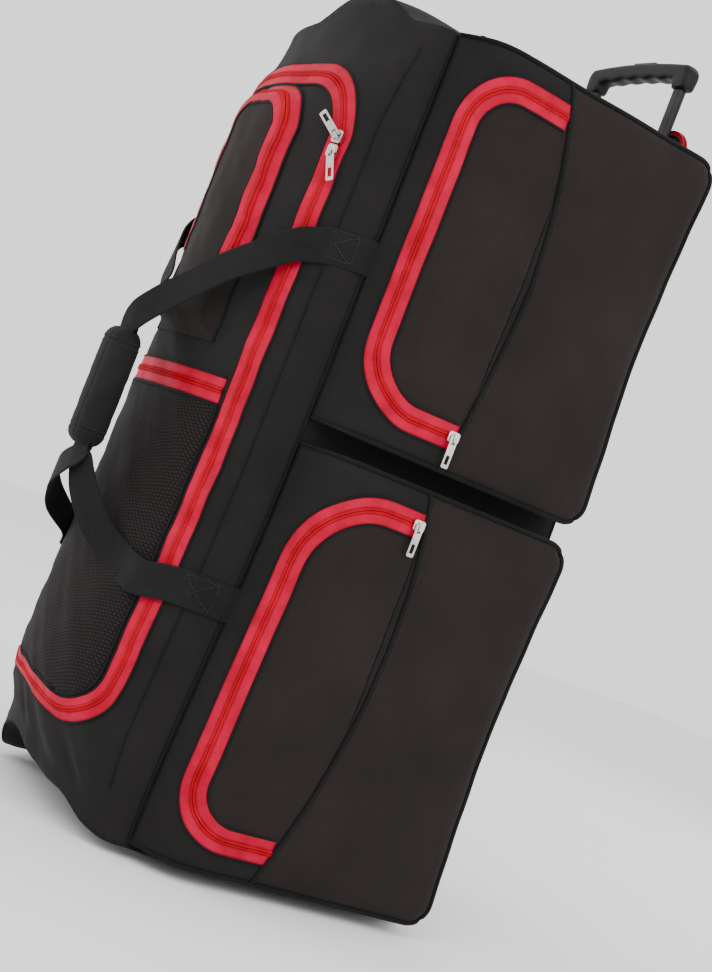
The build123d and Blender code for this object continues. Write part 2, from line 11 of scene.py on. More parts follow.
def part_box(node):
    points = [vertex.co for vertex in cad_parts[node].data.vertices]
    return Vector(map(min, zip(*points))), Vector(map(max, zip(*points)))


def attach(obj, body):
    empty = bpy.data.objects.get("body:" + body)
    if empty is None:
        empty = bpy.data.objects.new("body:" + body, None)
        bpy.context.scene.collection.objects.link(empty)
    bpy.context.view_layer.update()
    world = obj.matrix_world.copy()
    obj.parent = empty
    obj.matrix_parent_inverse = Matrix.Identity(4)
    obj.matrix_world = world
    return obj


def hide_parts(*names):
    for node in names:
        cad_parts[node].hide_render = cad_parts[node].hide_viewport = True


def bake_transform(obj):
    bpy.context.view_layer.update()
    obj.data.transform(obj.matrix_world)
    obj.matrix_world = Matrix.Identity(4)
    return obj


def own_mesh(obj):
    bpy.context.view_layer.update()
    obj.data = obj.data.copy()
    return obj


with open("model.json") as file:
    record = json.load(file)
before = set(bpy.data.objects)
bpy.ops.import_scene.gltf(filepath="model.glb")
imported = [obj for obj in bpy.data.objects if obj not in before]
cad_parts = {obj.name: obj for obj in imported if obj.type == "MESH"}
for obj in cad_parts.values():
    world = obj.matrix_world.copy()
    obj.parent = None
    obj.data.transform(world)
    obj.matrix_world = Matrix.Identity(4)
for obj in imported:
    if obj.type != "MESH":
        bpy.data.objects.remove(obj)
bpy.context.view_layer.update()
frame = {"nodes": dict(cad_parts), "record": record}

MM = 0.001

# ---------------------------------------------------------------- sizes from the frame
SIDE_LO, SIDE_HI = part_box("side_panels")
LID_LO, LID_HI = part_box("lid_panel")
FRONT_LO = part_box("front_panel")[0]
WRAP_LO, WRAP_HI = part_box("handle_wrap")
GRIP_LO, GRIP_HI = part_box("trolley_grip")
COVER_LO, COVER_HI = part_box("rear_cover")
HALF_W = SIDE_HI.x       # half the width of the body
BACK_Y = SIDE_HI.y       # the back panel
SEAM_Y = SIDE_LO.y       # the seams between the sides and the domed front
BOTTOM = SIDE_LO.z
TOP = SIDE_HI.z
HEIGHT = TOP - BOTTOM
DOME = SEAM_Y - FRONT_LO.y      # how far the front stands out of the seams
LID_HALF = LID_HI.x      # half the width of the lid
LID_MID = (LID_HI.z + LID_LO.z) / 2
LID_R = 70 * MM          # corner radius of the lid
ZIP_W = 30 * MM          # width of a closed zip


def smooth(t):
    """0 before 0, 1 after 1, and a smooth step between."""
    t = np.clip(t, 0.0, 1.0)
    return t * t * (3 - 2 * t)


WAVES = np.random.default_rng(7).normal(size=(14, 3))
PHASES = np.random.default_rng(8).uniform(0, 2 * math.pi, size=14)


def rough(points, scale, strength, seed=0.0):
    """Soft random height at points: a sum of waves of many directions, about this far from crest to crest."""
    turned = points @ (WAVES.T * 4.2 / scale) + PHASES * (1 + seed)
    return strength * np.sin(turned).sum(axis=-1) / 5.3


def stack(*parts):
    """Coordinates side by side, as rows of points."""
    return np.stack(np.broadcast_arrays(*parts), axis=-1).astype(float)


# ---------------------------------------------------------------- materials
def new_material(name, base, roughness=0.8, metallic=0.0, sheen=0.0, specular=0.3):
    """A node material with its shader; the caller adds detail to it."""
    mat = bpy.data.materials.new(name)
    mat.use_nodes = True
    shader = mat.node_tree.nodes["Principled BSDF"]
    shader.inputs["Base Color"].default_value = (*base, 1)
    shader.inputs["Roughness"].default_value = roughness
    shader.inputs["Metallic"].default_value = metallic
    shader.inputs["Sheen Weight"].default_value = sheen
    shader.inputs["Sheen Roughness"].default_value = 0.4
    shader.inputs["Specular IOR Level"].default_value = specular
    return mat, mat.node_tree, shader


def place_node(tree, kind, **values):
    """A node, with each value set on the socket or the property of that name."""
    node = tree.nodes.new(kind)
    for key, value in values.items():
        if key in node.inputs:
            node.inputs[key].default_value = value
        else:
            setattr(node, key, value)
    return node


def coloured_by(tree, shader, factor, dark, light, low=0.3, high=0.7):
    """Base colour between dark and light by a factor socket."""
    ramp = place_node(tree, "ShaderNodeValToRGB")
    ramp.color_ramp.elements[0].position = low
    ramp.color_ramp.elements[0].color = (*dark, 1)
    ramp.color_ramp.elements[1].position = high
    ramp.color_ramp.elements[1].color = (*light, 1)
    tree.links.new(factor, ramp.inputs["Fac"])
    tree.links.new(ramp.outputs["Color"], shader.inputs["Base Color"])


def noise_at(tree, coords, **values):
    """A noise texture's factor at the place on the object."""
    noise = place_node(tree, "ShaderNodeTexNoise", **values)
    tree.links.new(coords.outputs["Object"], noise.inputs["Vector"])
    return noise.outputs["Fac"]


def bump(tree, shader, height, strength, distance):
    """Raise the surface by a height socket."""
    bumped = place_node(tree, "ShaderNodeBump", Strength=strength, Distance=distance)
    tree.links.new(height, bumped.inputs["Height"])
    tree.links.new(bumped.outputs["Normal"], shader.inputs["Normal"])


def weave_height(tree, pitch, diagonal=False):
    """Height of a plain weave of this pitch, from the place on the object."""
    coords = place_node(tree, "ShaderNodeTexCoord")
    mapping = place_node(tree, "ShaderNodeMapping")
    mapping.inputs["Rotation"].default_value = (0, 0, math.radians(45))
    if diagonal:
        mapping.inputs["Rotation"].default_value = (math.radians(35), math.radians(20), math.radians(45))
    tree.links.new(coords.outputs["Object"], mapping.inputs["Vector"])
    waves = []
    for direction in ("X", "Z"):
        wave = place_node(tree, "ShaderNodeTexWave", wave_type="BANDS", bands_direction=direction)
        wave.inputs["Scale"].default_value = 0.314 / pitch
        wave.inputs["Distortion"].default_value = 0.6
        wave.inputs["Detail"].default_value = 0.0
        tree.links.new(mapping.outputs["Vector"], wave.inputs["Vector"])
        waves.append(wave)
    both = place_node(tree, "ShaderNodeMath", operation="MULTIPLY")
    tree.links.new(waves[0].outputs["Fac"], both.inputs[0])
    tree.links.new(waves[1].outputs["Fac"], both.inputs[1])
    return both.outputs[0], coords


def cloth_material(
    name, dark, light, pitch=0.9 * MM, strength=0.35, sheen=0.03, diagonal=False
):
    """Woven polyester: a fine weave in the bump, and cloudy colour with a few worn, paler threads.
    A diagonal weave is the open mesh, with painted shade in its holes: where the weave is low its colour goes
    dark, for the shade seen through the holes."""
    mat, tree, shader = new_material(name, dark, 0.85, sheen=sheen, specular=0.12)
    weave, coords = weave_height(tree, pitch, diagonal)
    if diagonal:
        # painted shade: the weave's low places, the mesh's holes, take the dark colour
        coloured_by(tree, shader, weave, dark, light, 0.05, 0.6)
    else:
        mixed = place_node(tree, "ShaderNodeMath", operation="MULTIPLY_ADD")
        mixed.inputs[1].default_value = 0.45
        tree.links.new(noise_at(tree, coords, Scale=700.0, Detail=2.0), mixed.inputs[0])
        tree.links.new(noise_at(tree, coords, Scale=9.0, Detail=6.0, Roughness=0.65), mixed.inputs[2])
        coloured_by(tree, shader, mixed.outputs[0], dark, light, 0.45, 0.95)
    height = place_node(tree, "ShaderNodeMath", operation="ADD")
    tree.links.new(weave, height.inputs[0])
    tree.links.new(noise_at(tree, coords, Scale=260.0, Detail=4.0), height.inputs[1])
    bump(tree, shader, height.outputs[0], strength, 0.4 * MM)
    return mat


def red_tape_material(name, dark, light, roughness):
    """Satin zip tape: cloudy light and dark red over fine cross threads."""
    mat, tree, shader = new_material(name, light, roughness, specular=0.08)
    weave, coords = weave_height(tree, 0.8 * MM)
    cloud = noise_at(tree, coords, Scale=30.0, Detail=5.0, Roughness=0.6)
    coloured_by(tree, shader, cloud, dark, light, 0.3, 0.65)
    bump(tree, shader, weave, 0.3, 0.25 * MM)
    return mat


def hard_material(name, dark, light, roughness, metallic=0.0, grain=900.0, depth=0.15):
    """Moulded plastic or metal with a fine grain and slightly uneven gloss."""
    mat, tree, shader = new_material(name, light, roughness, metallic, specular=0.14)
    coords = place_node(tree, "ShaderNodeTexCoord")
    cloud = noise_at(tree, coords, Scale=25.0, Detail=6.0)
    coloured_by(tree, shader, cloud, dark, light)
    spread = place_node(tree, "ShaderNodeMapRange")
    spread.inputs["To Min"].default_value = roughness - 0.08
    spread.inputs["To Max"].default_value = roughness + 0.1
    tree.links.new(cloud, spread.inputs["Value"])
    tree.links.new(spread.outputs["Result"], shader.inputs["Roughness"])
    bump(tree, shader, noise_at(tree, coords, Scale=grain, Detail=2.0), depth, 0.2 * MM)
    return mat


BODY_CLOTH = cloth_material("body_cloth", (0.0068, 0.0064, 0.0062), (0.0122, 0.0113, 0.0109))
PANEL_CLOTH = cloth_material("panel_cloth", (0.0105, 0.0080, 0.0074), (0.0168, 0.0128, 0.0117))
WRAP_CLOTH = cloth_material("wrap_cloth", (0.005, 0.005, 0.005), (0.013, 0.0125, 0.013), pitch=1.2 * MM)
# the mesh's dark colour is painted shade in its holes; the light one is its threads
MESH_CLOTH = cloth_material(
    "mesh_cloth", (0.004, 0.0034, 0.0032), (0.0175, 0.0135, 0.0125),
    pitch=3.0 * MM, strength=0.9, diagonal=True,
)
PIPING_CLOTH = cloth_material("piping_cloth", (0.003, 0.003, 0.003), (0.009, 0.0085, 0.0085), pitch=0.7 * MM)
WEBBING = cloth_material(
    "webbing", (0.0045, 0.0045, 0.005), (0.012, 0.012, 0.012), pitch=1.6 * MM, strength=0.8
)
ZIP_TAPE = red_tape_material("zip_tape", (0.30, 0.0, 0.012), (0.46, 0.0, 0.032), 0.5)
ZIP_COIL = red_tape_material("zip_coil", (0.26, 0.0, 0.004), (0.42, 0.0, 0.010), 0.45)
SILVER = hard_material("silver", (0.45, 0.43, 0.40), (0.82, 0.80, 0.77), 0.25, 1.0)
STEEL = hard_material("steel", (0.30, 0.30, 0.30), (0.55, 0.55, 0.55), 0.35, 1.0)
TUBE_METAL = hard_material("tube_metal", (0.012, 0.012, 0.013), (0.028, 0.028, 0.030), 0.30, 0.6, depth=0.05)
BLACK_PLASTIC = hard_material("black_plastic", (0.0045, 0.0045, 0.005), (0.011, 0.011, 0.012), 0.45)
GREY_PLASTIC = hard_material("grey_plastic", (0.03, 0.03, 0.032), (0.06, 0.06, 0.063), 0.42)
BOARD = hard_material("board", (0.03, 0.03, 0.03), (0.06, 0.06, 0.06), 0.6)
TYRE = hard_material("tyre", (0.006, 0.006, 0.006), (0.014, 0.014, 0.014), 0.7, grain=400.0, depth=0.4)


# ---------------------------------------------------------------- mesh helpers
def mesh_piece(name, points, faces, material, soft=True):
    """A mesh object from points and faces."""
    data = bpy.data.meshes.new(name)
    data.from_pydata([tuple(p) for p in points], [], [tuple(f) for f in faces])
    data.update()
    piece = bpy.data.objects.new(name, data)
    bpy.context.collection.objects.link(piece)
    if soft:
        data.polygons.foreach_set("use_smooth", [True] * len(data.polygons))
    data.materials.append(material)
    return piece


def ring_faces(rings, count, first=0):
    """Faces between rings of count points each, with the first and the last ring capped."""
    faces = []
    for here in range(first, first + (rings - 1) * count, count):
        for k in range(count):
            after = (k + 1) % count
            faces.append((here + k, here + after, here + count + after, here + count + k))
    faces.append(tuple(reversed(range(first, first + count))))
    faces.append(tuple(first + (rings - 1) * count + k for k in range(count)))
    return faces


def bake_modifiers(piece):
    """Leave the mesh as its modifiers make it."""
    graph = bpy.context.evaluated_depsgraph_get()
    baked = bpy.data.meshes.new_from_object(piece.evaluated_get(graph))
    piece.modifiers.clear()
    piece.data = baked
    return piece


def thicken(piece, thickness, offset=-1.0):
    """Give a sheet its thickness, inwards when offset is -1."""
    mod = piece.modifiers.new("thickness", "SOLIDIFY")
    mod.thickness = thickness
    mod.offset = offset
    return bake_modifiers(piece)


def finish_piece(piece, body, slot, *nodes):
    """Ride on a body and stand for CAD nodes, which are hidden; the slot is not used."""
    if nodes:
        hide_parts(*nodes)
    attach(piece, body)
    return piece


def surface_frame(surface, u, v, step=0.4 * MM):
    """Points and outward normals of a surface."""
    u, v = np.asarray(u, float), np.asarray(v, float)
    along_u = surface(u + step, v) - surface(u - step, v)
    along_v = surface(u, v + step) - surface(u, v - step)
    normal = np.cross(along_u, along_v)
    return surface(u, v), normal / np.linalg.norm(normal, axis=-1, keepdims=True)


def inside(outline, places):
    """Which of the places are inside a closed outline."""
    x, y = places[:, 0], places[:, 1]
    hit = np.zeros(len(places), bool)
    ends = list(outline[1:]) + [outline[0]]
    for (x0, y0), (x1, y1) in zip(outline, ends):
        if y0 != y1:
            crosses = (y0 > y) != (y1 > y)
            hit ^= crosses & (x < (x1 - x0) * (y - y0) / (y1 - y0) + x0)
    return hit


def trimmed_sheet(name, outline, holes, surface, cell, material, thickness=2.0 * MM, flip=False):
    """A sheet of a surface inside a flat outline and outside its holes, with clean edges."""
    loops = [outline] + list(holes)
    lows = np.min(outline, axis=0)
    highs = np.max(outline, axis=0)
    points = []
    edges = []
    for loop in loops:
        first = len(points)
        points += [Vector(p) for p in loop]
        edges += [(first + i, first + (i + 1) % len(loop)) for i in range(len(loop))]
    rim = np.array([[p.x, p.y] for p in points])
    for i, x in enumerate(np.arange(lows[0] + cell / 2, highs[0], cell)):
        for y in np.arange(lows[1] + cell / 2 * (1 + i % 2), highs[1], cell):
            if np.min(np.hypot(rim[:, 0] - x, rim[:, 1] - y)) < 0.45 * cell:
                continue
            points.append(Vector((x, y)))
    found, _, faces, _, _, _ = delaunay_2d_cdt(points, edges, [], 0, 1e-7)
    middles = np.array([[sum(found[i][k] for i in face) / len(face) for k in (0, 1)] for face in faces])
    wanted = inside(outline, middles)
    for hole in holes:
        wanted &= ~inside(hole, middles)
    kept = [tuple(reversed(face)) if flip else tuple(face) for face, keep in zip(faces, wanted) if keep]
    used = sorted({i for face in kept for i in face})
    index = {old: new for new, old in enumerate(used)}
    flat_points = np.array([tuple(found[i]) for i in used])
    shaped = surface(flat_points[:, 0], flat_points[:, 1])
    piece = mesh_piece(name, shaped, [[index[i] for i in face] for face in kept], material)
    return thicken(piece, thickness)


def densify(points, step):
    """Points along a polyline, evenly spaced."""
    pts = np.array([tuple(p) for p in points], float)
    length = np.concatenate([[0], np.cumsum(np.linalg.norm(np.diff(pts, axis=0), axis=1))])
    count = max(2, int(round(length[-1] / step)) + 1)
    at = np.linspace(0, length[-1], count)
    return np.stack([np.interp(at, length, pts[:, k]) for k in range(pts.shape[1])], axis=1)


def swept(name, points, normals, section, material):
    """Sweep a cross-section of (across, up) points along a line with given outward normals."""
    points = [Vector(p) for p in points]
    normals = [Vector(n) for n in normals]
    verts = []
    for i in range(len(points)):
        tangent = (points[min(i + 1, len(points) - 1)] - points[max(i - 1, 0)]).normalized()
        across = tangent.cross(normals[i]).normalized()
        up = across.cross(tangent).normalized()
        verts += [points[i] + across * a + up * h for a, h in section]
    return mesh_piece(name, verts, ring_faces(len(points), len(section)), material)


def round_section(radius, count=10, lift=0.0):
    """A round cross-section, lifted off the surface."""
    return [
        (radius * math.cos(2 * math.pi * k / count), lift + radius * math.sin(2 * math.pi * k / count))
        for k in range(count)
    ]


def join(name, pieces):
    """Join pieces into the first and keep their materials."""
    materials = []
    merged = bmesh.new()
    for piece in pieces:
        offset = []
        for mat in piece.data.materials:
            if mat not in materials:
                materials.append(mat)
            offset.append(materials.index(mat))
        first = len(merged.faces)
        merged.from_mesh(piece.data)
        merged.faces.ensure_lookup_table()
        for face in merged.faces[first:]:
            face.material_index = offset[face.material_index] if offset else 0
    data = bpy.data.meshes.new(name)
    merged.to_mesh(data)
    merged.free()
    for mat in materials:
        data.materials.append(mat)
    for piece in pieces:
        old = piece.data
        bpy.data.objects.remove(piece)
        bpy.data.meshes.remove(old)
    whole = bpy.data.objects.new(name, data)
    bpy.context.collection.objects.link(whole)
    return whole


def rounded_loop(x0, x1, y0, y1, radius, step=6 * MM, corners=(1, 1, 1, 1)):
    """A rounded rectangle as a closed outline, anticlockwise from the right side's foot."""
    loop = []
    places = [(x1, y0, -90), (x1, y1, 0), (x0, y1, 90), (x0, y0, 180)]
    for (x, y, start), share in zip(places, corners):
        r = radius * share
        sx = 1 if x == x1 else -1
        sy = 1 if y == y1 else -1
        if r == 0:
            loop.append((x, y))
            continue
        count = max(3, int(r * math.pi / 2 / step))
        for k in range(count + 1):
            t = math.radians(start + 90 * k / count)
            loop.append((x - sx * r + r * math.cos(t), y - sy * r + r * math.sin(t)))
    closed = loop + [loop[0]]
    out = []
    for a, b in zip(closed[:-1], closed[1:]):
        parts = max(1, int(round(math.dist(a, b) / step)))
        for k in range(parts):
            out.append((a[0] + (b[0] - a[0]) * k / parts, a[1] + (b[1] - a[1]) * k / parts))
    return out


# ---------------------------------------------------------------- camera, lights and floor
VIEW_LENS = 65.33         # millimetres, on a sensor 36 mm high
VIEW_TURN = math.radians(59.61)     # round to the right of the bag
VIEW_PITCH = math.radians(1.1)      # slightly upwards
VIEW_ROLL = math.radians(21.3)      # tilted about its own axis
VIEW_PLACE = Vector((1.7918, BACK_Y - 1.2093, BOTTOM + 0.3967))


def make_camera():
    """The view of the photograph."""
    data = bpy.data.cameras.new("camera")
    data.sensor_width = 36
    data.lens = VIEW_LENS
    camera = bpy.data.objects.new("camera", data)
    bpy.context.collection.objects.link(camera)
    right = Vector((math.cos(VIEW_TURN), math.sin(VIEW_TURN), 0))
    level = Vector((-math.sin(VIEW_TURN), math.cos(VIEW_TURN), 0))
    ahead = level * math.cos(VIEW_PITCH) + Vector((0, 0, math.sin(VIEW_PITCH)))
    up = right.cross(ahead)
    rolled_right = right * math.cos(VIEW_ROLL) + up * math.sin(VIEW_ROLL)
    rolled_up = up * math.cos(VIEW_ROLL) - right * math.sin(VIEW_ROLL)
    matrix = Matrix((rolled_right, rolled_up, -ahead)).transposed().to_4x4()
    matrix.translation = VIEW_PLACE
    camera.matrix_world = matrix
    bpy.context.scene.camera = camera


def area_light(name, place, aim, size, power):
    """A square studio lamp that faces a point."""
    data = bpy.data.lights.new(name, "AREA")
    data.size = size
    data.energy = power
    lamp = bpy.data.objects.new(name, data)
    bpy.context.collection.objects.link(lamp)
    lamp.location = place
    lamp.rotation_euler = (Vector(aim) - Vector(place)).to_track_quat("-Z", "Y").to_euler()


def make_studio():
    """White surroundings, four soft lamps and a plain floor."""
    world = bpy.data.worlds.new("studio")
    bpy.context.scene.world = world
    world.use_nodes = True
    sky = world.node_tree.nodes["Background"]
    sky.inputs["Color"].default_value = (1, 1, 1, 1)
    sky.inputs["Strength"].default_value = 1.5
    middle = (0, 0, 0.45)
    area_light("key", (2.2, -2.4, 2.2), middle, 1.6, 46)
    area_light("side", (2.8, 0.6, 1.4), middle, 1.4, 26)
    area_light("left", (-1.6, -2.4, 1.2), middle, 1.6, 22)
    area_light("rear", (-0.6, 2.6, 1.8), middle, 1.6, 24)
    span = 6.0
    floor = mesh_piece(
        "floor", [(-span, -span, 0), (span, -span, 0), (span, span, 0), (-span, span, 0)], [(0, 1, 2, 3)],
        floor_material(), soft=False,
    )


def floor_material():
    """Matt off-white paint, very slightly uneven."""
    mat, tree, shader = new_material("floor_paint", (0.86, 0.86, 0.86), 0.9)
    cloud = noise_at(tree, place_node(tree, "ShaderNodeTexCoord"), Scale=3.0, Detail=3.0)
    coloured_by(tree, shader, cloud, (0.85, 0.85, 0.85), (0.88, 0.88, 0.88))
    return mat


make_camera()
make_studio()


# ---------------------------------------------------------------- the domed front of the bag
END_DOME = 0.60          # the dome's height at the bag's top end, as a share
LOW_DOME = 0.70          # the same at the bottom end
END_FADE = 0.135         # how far from the top end the dome starts to get lower
LOW_FADE = 0.11          # the same at the bottom end
SQUARE = 2 / 2.25        # how much squarer than an ellipse the lid's cross-section is
DOME_ANGLES = np.linspace(0, math.pi, 401)


def dome_xy(t):
    """Points on the lid's cross-section at angles t from the left seam."""
    c = -np.cos(t)
    return HALF_W * np.sign(c) * np.abs(c) ** SQUARE, -DOME * np.sin(t)


DOME_X, DOME_Y = dome_xy(DOME_ANGLES)
DOME_RUN = np.concatenate([[0], np.cumsum(np.hypot(np.diff(DOME_X), np.diff(DOME_Y)))])
DOME_LENGTH = float(DOME_RUN[-1])


def u_of_x(x):
    """Distance round the lid's cross-section from the left seam to x."""
    return np.interp(x, DOME_X, DOME_RUN)


def flat(path):
    """Points of the lid, seen from the front, as places in the flat of its face."""
    return [(float(u_of_x(x)), z) for x, z in path]


def seam_y(z):
    """The seams lean forwards near the bottom."""
    reach = 0.48 * HEIGHT
    low = smooth((reach - (z - BOTTOM)) / reach)
    return SEAM_Y + 3 * MM - 16 * MM * low


def dome_share(z):
    """The lid's dome gets lower towards the bag's ends."""
    top = smooth((z - (TOP - END_FADE)) / END_FADE)
    bottom = smooth((BOTTOM + LOW_FADE - z) / LOW_FADE)
    return 1 - (1 - END_DOME) * top - (1 - LOW_DOME) * bottom


def top_lift(x):
    """How far the top edge of the lid face stands above the body's top."""
    near = 24 * MM * smooth((x + 0.05) / 0.08)
    return near * (1 - 0.9 * smooth((x - 0.09) / 0.055)) - 4 * MM


def bottom_lift(x):
    """The bottom edge of the lid face rises to the far side, where the empty bag has slumped."""
    far = 38 * MM * smooth((0.10 - x) / 0.26) * (1 - smooth((-0.03 - x) / 0.14))
    middle = 24 * MM * smooth((HALF_W - x) / 0.09) * smooth((HALF_W + x) / 0.05)
    return -1 * MM + middle + far


def slump(x, z):
    """Height change of the lid face at x, z, fading away from the ends."""
    up = smooth((z - (TOP - 0.07)) / 0.07)
    down = smooth((BOTTOM + 0.20 - z) / 0.20)
    return top_lift(x) * up + bottom_lift(x) * down


FOLD_PITCH = 11 * MM      # one radian of the folds' wave
FOLD_DEPTH = 3 * MM       # their height


def creases(x, z):
    """Folds of the slack fabric on the lid face, mostly at its bottom end."""
    low = smooth((BOTTOM + 0.13 - z) / 0.12) * smooth((z - BOTTOM - 0.004) / 0.035)
    place = stack(x, 0, z)
    wander = rough(place, 0.09, 1.2, 0.4)
    waves = np.sin((z * 0.9 + x * 0.5) / FOLD_PITCH + 2 * wander)
    folds = FOLD_DEPTH * low * waves * smooth((0.17 - np.abs(x)) / 0.05)
    return folds + rough(place, 0.09, 2.0 * MM, 0.1) + rough(place, 0.03, 0.6 * MM, 0.7)


def front_surface(u, z):
    """The lid face of the bag, from the left seam (u = 0) to the right seam."""
    t = np.interp(u, DOME_RUN, DOME_ANGLES)
    x, y = dome_xy(t)
    y = y * dome_share(z)
    swell = creases(x, z) * smooth(np.sin(t) / 0.35)
    out = stack(-np.cos(t) * DOME, -np.sin(t) * HALF_W, 0)
    out /= np.linalg.norm(out, axis=-1, keepdims=True)
    return stack(x, seam_y(z) + y, z + slump(x, z)) + out * swell[..., None]


FRONT_STEP = 7 * MM       # size of the front's mesh cells
OUTER_LOOP = rounded_loop(0, DOME_LENGTH, BOTTOM, TOP, 0, FRONT_STEP)


def lid_loop(grow, step=FRONT_STEP):
    """The lid's outline in the flat of the front face, grown by grow."""
    return flat(rounded_loop(
        -LID_HALF - grow, LID_HALF + grow, LID_LO.z - grow, LID_HI.z + grow, LID_R + grow, step
    ))


# ---------------------------------------------------------------- bands that follow a surface
def path_frames(path):
    """Points of a flat path with their left-hand normals."""
    pts = np.array(path, float)
    run = np.vstack([pts[1:], pts[-1:]]) - np.vstack([pts[:1], pts[:-1]])
    run /= np.linalg.norm(run, axis=1)[:, None]
    return pts, np.stack([-run[:, 1], run[:, 0]], axis=1)


def surface_band(name, surface, path, section, material, shape=None):
    """A solid strip along a flat path: each section point is (offset to the left, height above)."""
    pts, left = path_frames(path)
    n = len(pts)
    spread = np.array([[shape(i, k, *s) if shape else s for k, s in enumerate(section)] for i in range(n)])
    _, normal = surface_frame(surface, pts[:, 0], pts[:, 1])
    at = pts[:, None, :] + left[:, None, :] * spread[:, :, :1]
    verts = surface(at[..., 0], at[..., 1]) + normal[:, None, :] * spread[:, :, 1:]
    piece = mesh_piece(name, verts.reshape(-1, 3), ring_faces(n, len(section)), material)
    fix_normals(piece)
    return piece


def fix_normals(piece):
    """Turn the faces outwards."""
    work = bmesh.new()
    work.from_mesh(piece.data)
    bmesh.ops.recalc_face_normals(work, faces=work.faces)
    work.to_mesh(piece.data)
    work.free()


TOOTH = 2.3 * MM            # pitch of the coil's teeth
WELT = 1.5 * MM             # radius of the rolled fabric edge beside a tape


def tape_section(near, far):
    """A zip's tape from near its coil to its edge, slightly cupped between the two."""
    foot, top, cup = -1.0 * MM, 1.1 * MM, 0.5 * MM
    return [
        (near, foot), (near, top + cup), (near + 0.3 * (far - near), top + cup * 0.4),
        (near + 0.7 * (far - near), top + cup * 0.3), (far, top + cup * 0.8), (far, foot),
    ]


def coil_section(side):
    """Half of the closed coil, beside the middle line."""
    wide = 3.1 * MM * side
    low, high = 0.6 * MM, 3.0 * MM
    gap = 0.2 * MM * side
    crown = [(gap, high - 0.3 * MM), (wide * 0.5, high), (wide, high - 0.6 * MM)]
    return [(gap, low)] + crown + [(wide * 1.05, low)]


def teeth(i, k, off, height):
    """Alternate rows of the coil stand proud and sink back."""
    if k in (1, 2, 3) and i % 2:
        return off * 0.86, height - 0.8 * MM
    return off, height


def zip_half(name, surface, path, side, width=ZIP_W):
    """One tape of a zip, with its half of the coil and the rolled fabric edge beside it."""
    coarse = densify(path, 4.5 * MM)
    fine = densify(path, TOOTH / 2)
    half = width / 2
    across = tape_section(2.6 * MM * side, (half - 1.2 * MM) * side)
    tape = surface_band(name + "_t", surface, coarse, across, ZIP_TAPE)
    coil = surface_band(name + "_c", surface, fine, coil_section(side), ZIP_COIL, teeth)
    edge = [((half - 0.4 * MM) * side + a, 0.6 * MM + h) for a, h in round_section(WELT, 8)]
    welt = surface_band(name + "_w", surface, coarse, edge, PIPING_CLOTH)
    return join(name, [tape, coil, welt])


def whole_zip(name, surface, path):
    """A closed zip: both of its halves along one path."""
    return join(name, [zip_half(f"{name}_{side}", surface, path, side) for side in (1, -1)])


def piping(name, surface, path, radius, sink=0.5):
    """A covered cord sewn along a path."""
    section = round_section(radius, 10, radius * (1 - sink))
    return surface_band(name, surface, densify(path, 5 * MM), section, PIPING_CLOTH)


def stitches(name, surface, path, height, pitch=3.6 * MM):
    """A row of thread stitches along a path on a surface."""
    fine = densify(path, pitch)
    run = np.diff(fine, axis=0)
    start, end = fine[:-1] + run * 0.15, fine[:-1] + run * 0.85
    p, n = surface_frame(surface, start[:, 0], start[:, 1])
    q = surface(end[:, 0], end[:, 1])
    along = (q - p) / np.linalg.norm(q - p, axis=1, keepdims=True)
    across = np.cross(along, n)
    thick = 0.4 * MM
    verts = []
    for place, lift in ((p, -0.2 * MM), ((p + q) / 2, 0.3 * MM), (q, -0.2 * MM)):
        middle = place + n * (height + lift)
        verts.append(np.stack([middle + way * thick for way in (-across, n, across, -n)], axis=1))
    verts = np.stack(verts, axis=1).reshape(-1, 3)
    faces = [face for s in range(len(p)) for face in ring_faces(3, 4, 12 * s)]
    piece = mesh_piece(name, verts, faces, THREAD)
    fix_normals(piece)
    return piece


THREAD = cloth_material("thread", (0.012, 0.012, 0.012), (0.035, 0.033, 0.032), pitch=0.4 * MM, sheen=0.1)


def mirrored(piece, name):
    """The same piece on the other side."""
    data = piece.data.copy()
    data.name = name
    data.transform(Matrix.Scale(-1, 4, (1, 0, 0)))
    data.flip_normals()
    twin = bpy.data.objects.new(name, data)
    bpy.context.collection.objects.link(twin)
    return twin


# ---------------------------------------------------------------- lid face, main zip and the body around it
def make_front():
    """The front of the body with its opening, and the lid that fills it."""
    hole = lid_loop(0.5 * MM)
    ring = trimmed_sheet("front_face", OUTER_LOOP, [hole], front_surface, FRONT_STEP, BODY_CLOTH)
    finish_piece(ring, "bag", "black_fabric", "front_panel")
    lid = trimmed_sheet("lid_face", lid_loop(-1.0 * MM), [], front_surface, FRONT_STEP, BODY_CLOTH)
    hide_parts("lid_panel")
    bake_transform(lid)


def main_zip_path():
    """The lid's edge from its upper left, over the top, down the right side and back along the bottom."""
    loop = rounded_loop(-LID_HALF, LID_HALF, LID_LO.z, LID_HI.z, LID_R, 4 * MM)
    stop = -LID_HALF + 17 * MM
    kept = [p for p in loop if p[0] > stop]
    start = min(range(len(kept)), key=lambda i: (kept[i][0] - stop) + (1 if kept[i][1] > LID_MID else 0))
    return flat(kept[start:] + kept[:start])


MAIN_OUT = -1             # which side of the path is outside the lid


def make_main_zip():
    """The main zip's outer half stays on the body, and its inner half opens with the lid."""
    path = main_zip_path()
    body_half = zip_half("main_zip_on_body", front_surface, path, MAIN_OUT)
    finish_piece(body_half, "bag", "red_zip", "main_zip_body_tape")
    lid_half = zip_half("main_zip_on_lid", front_surface, path, -MAIN_OUT)
    finish_piece(lid_half, "lid", "red_zip", "main_zip_lid_tape")


make_front()
make_main_zip()


# ---------------------------------------------------------------- upper pocket and mesh pocket on the lid
POUCH_LO, POUCH_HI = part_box("lid_pocket")
POUCH_HALF = POUCH_HI.x
POUCH_R = 58 * MM         # radius of its upper corners
POUCH_RISE = 13 * MM      # how far it stands out
POUCH_SLOPE = 24 * MM     # width of its sloping edge


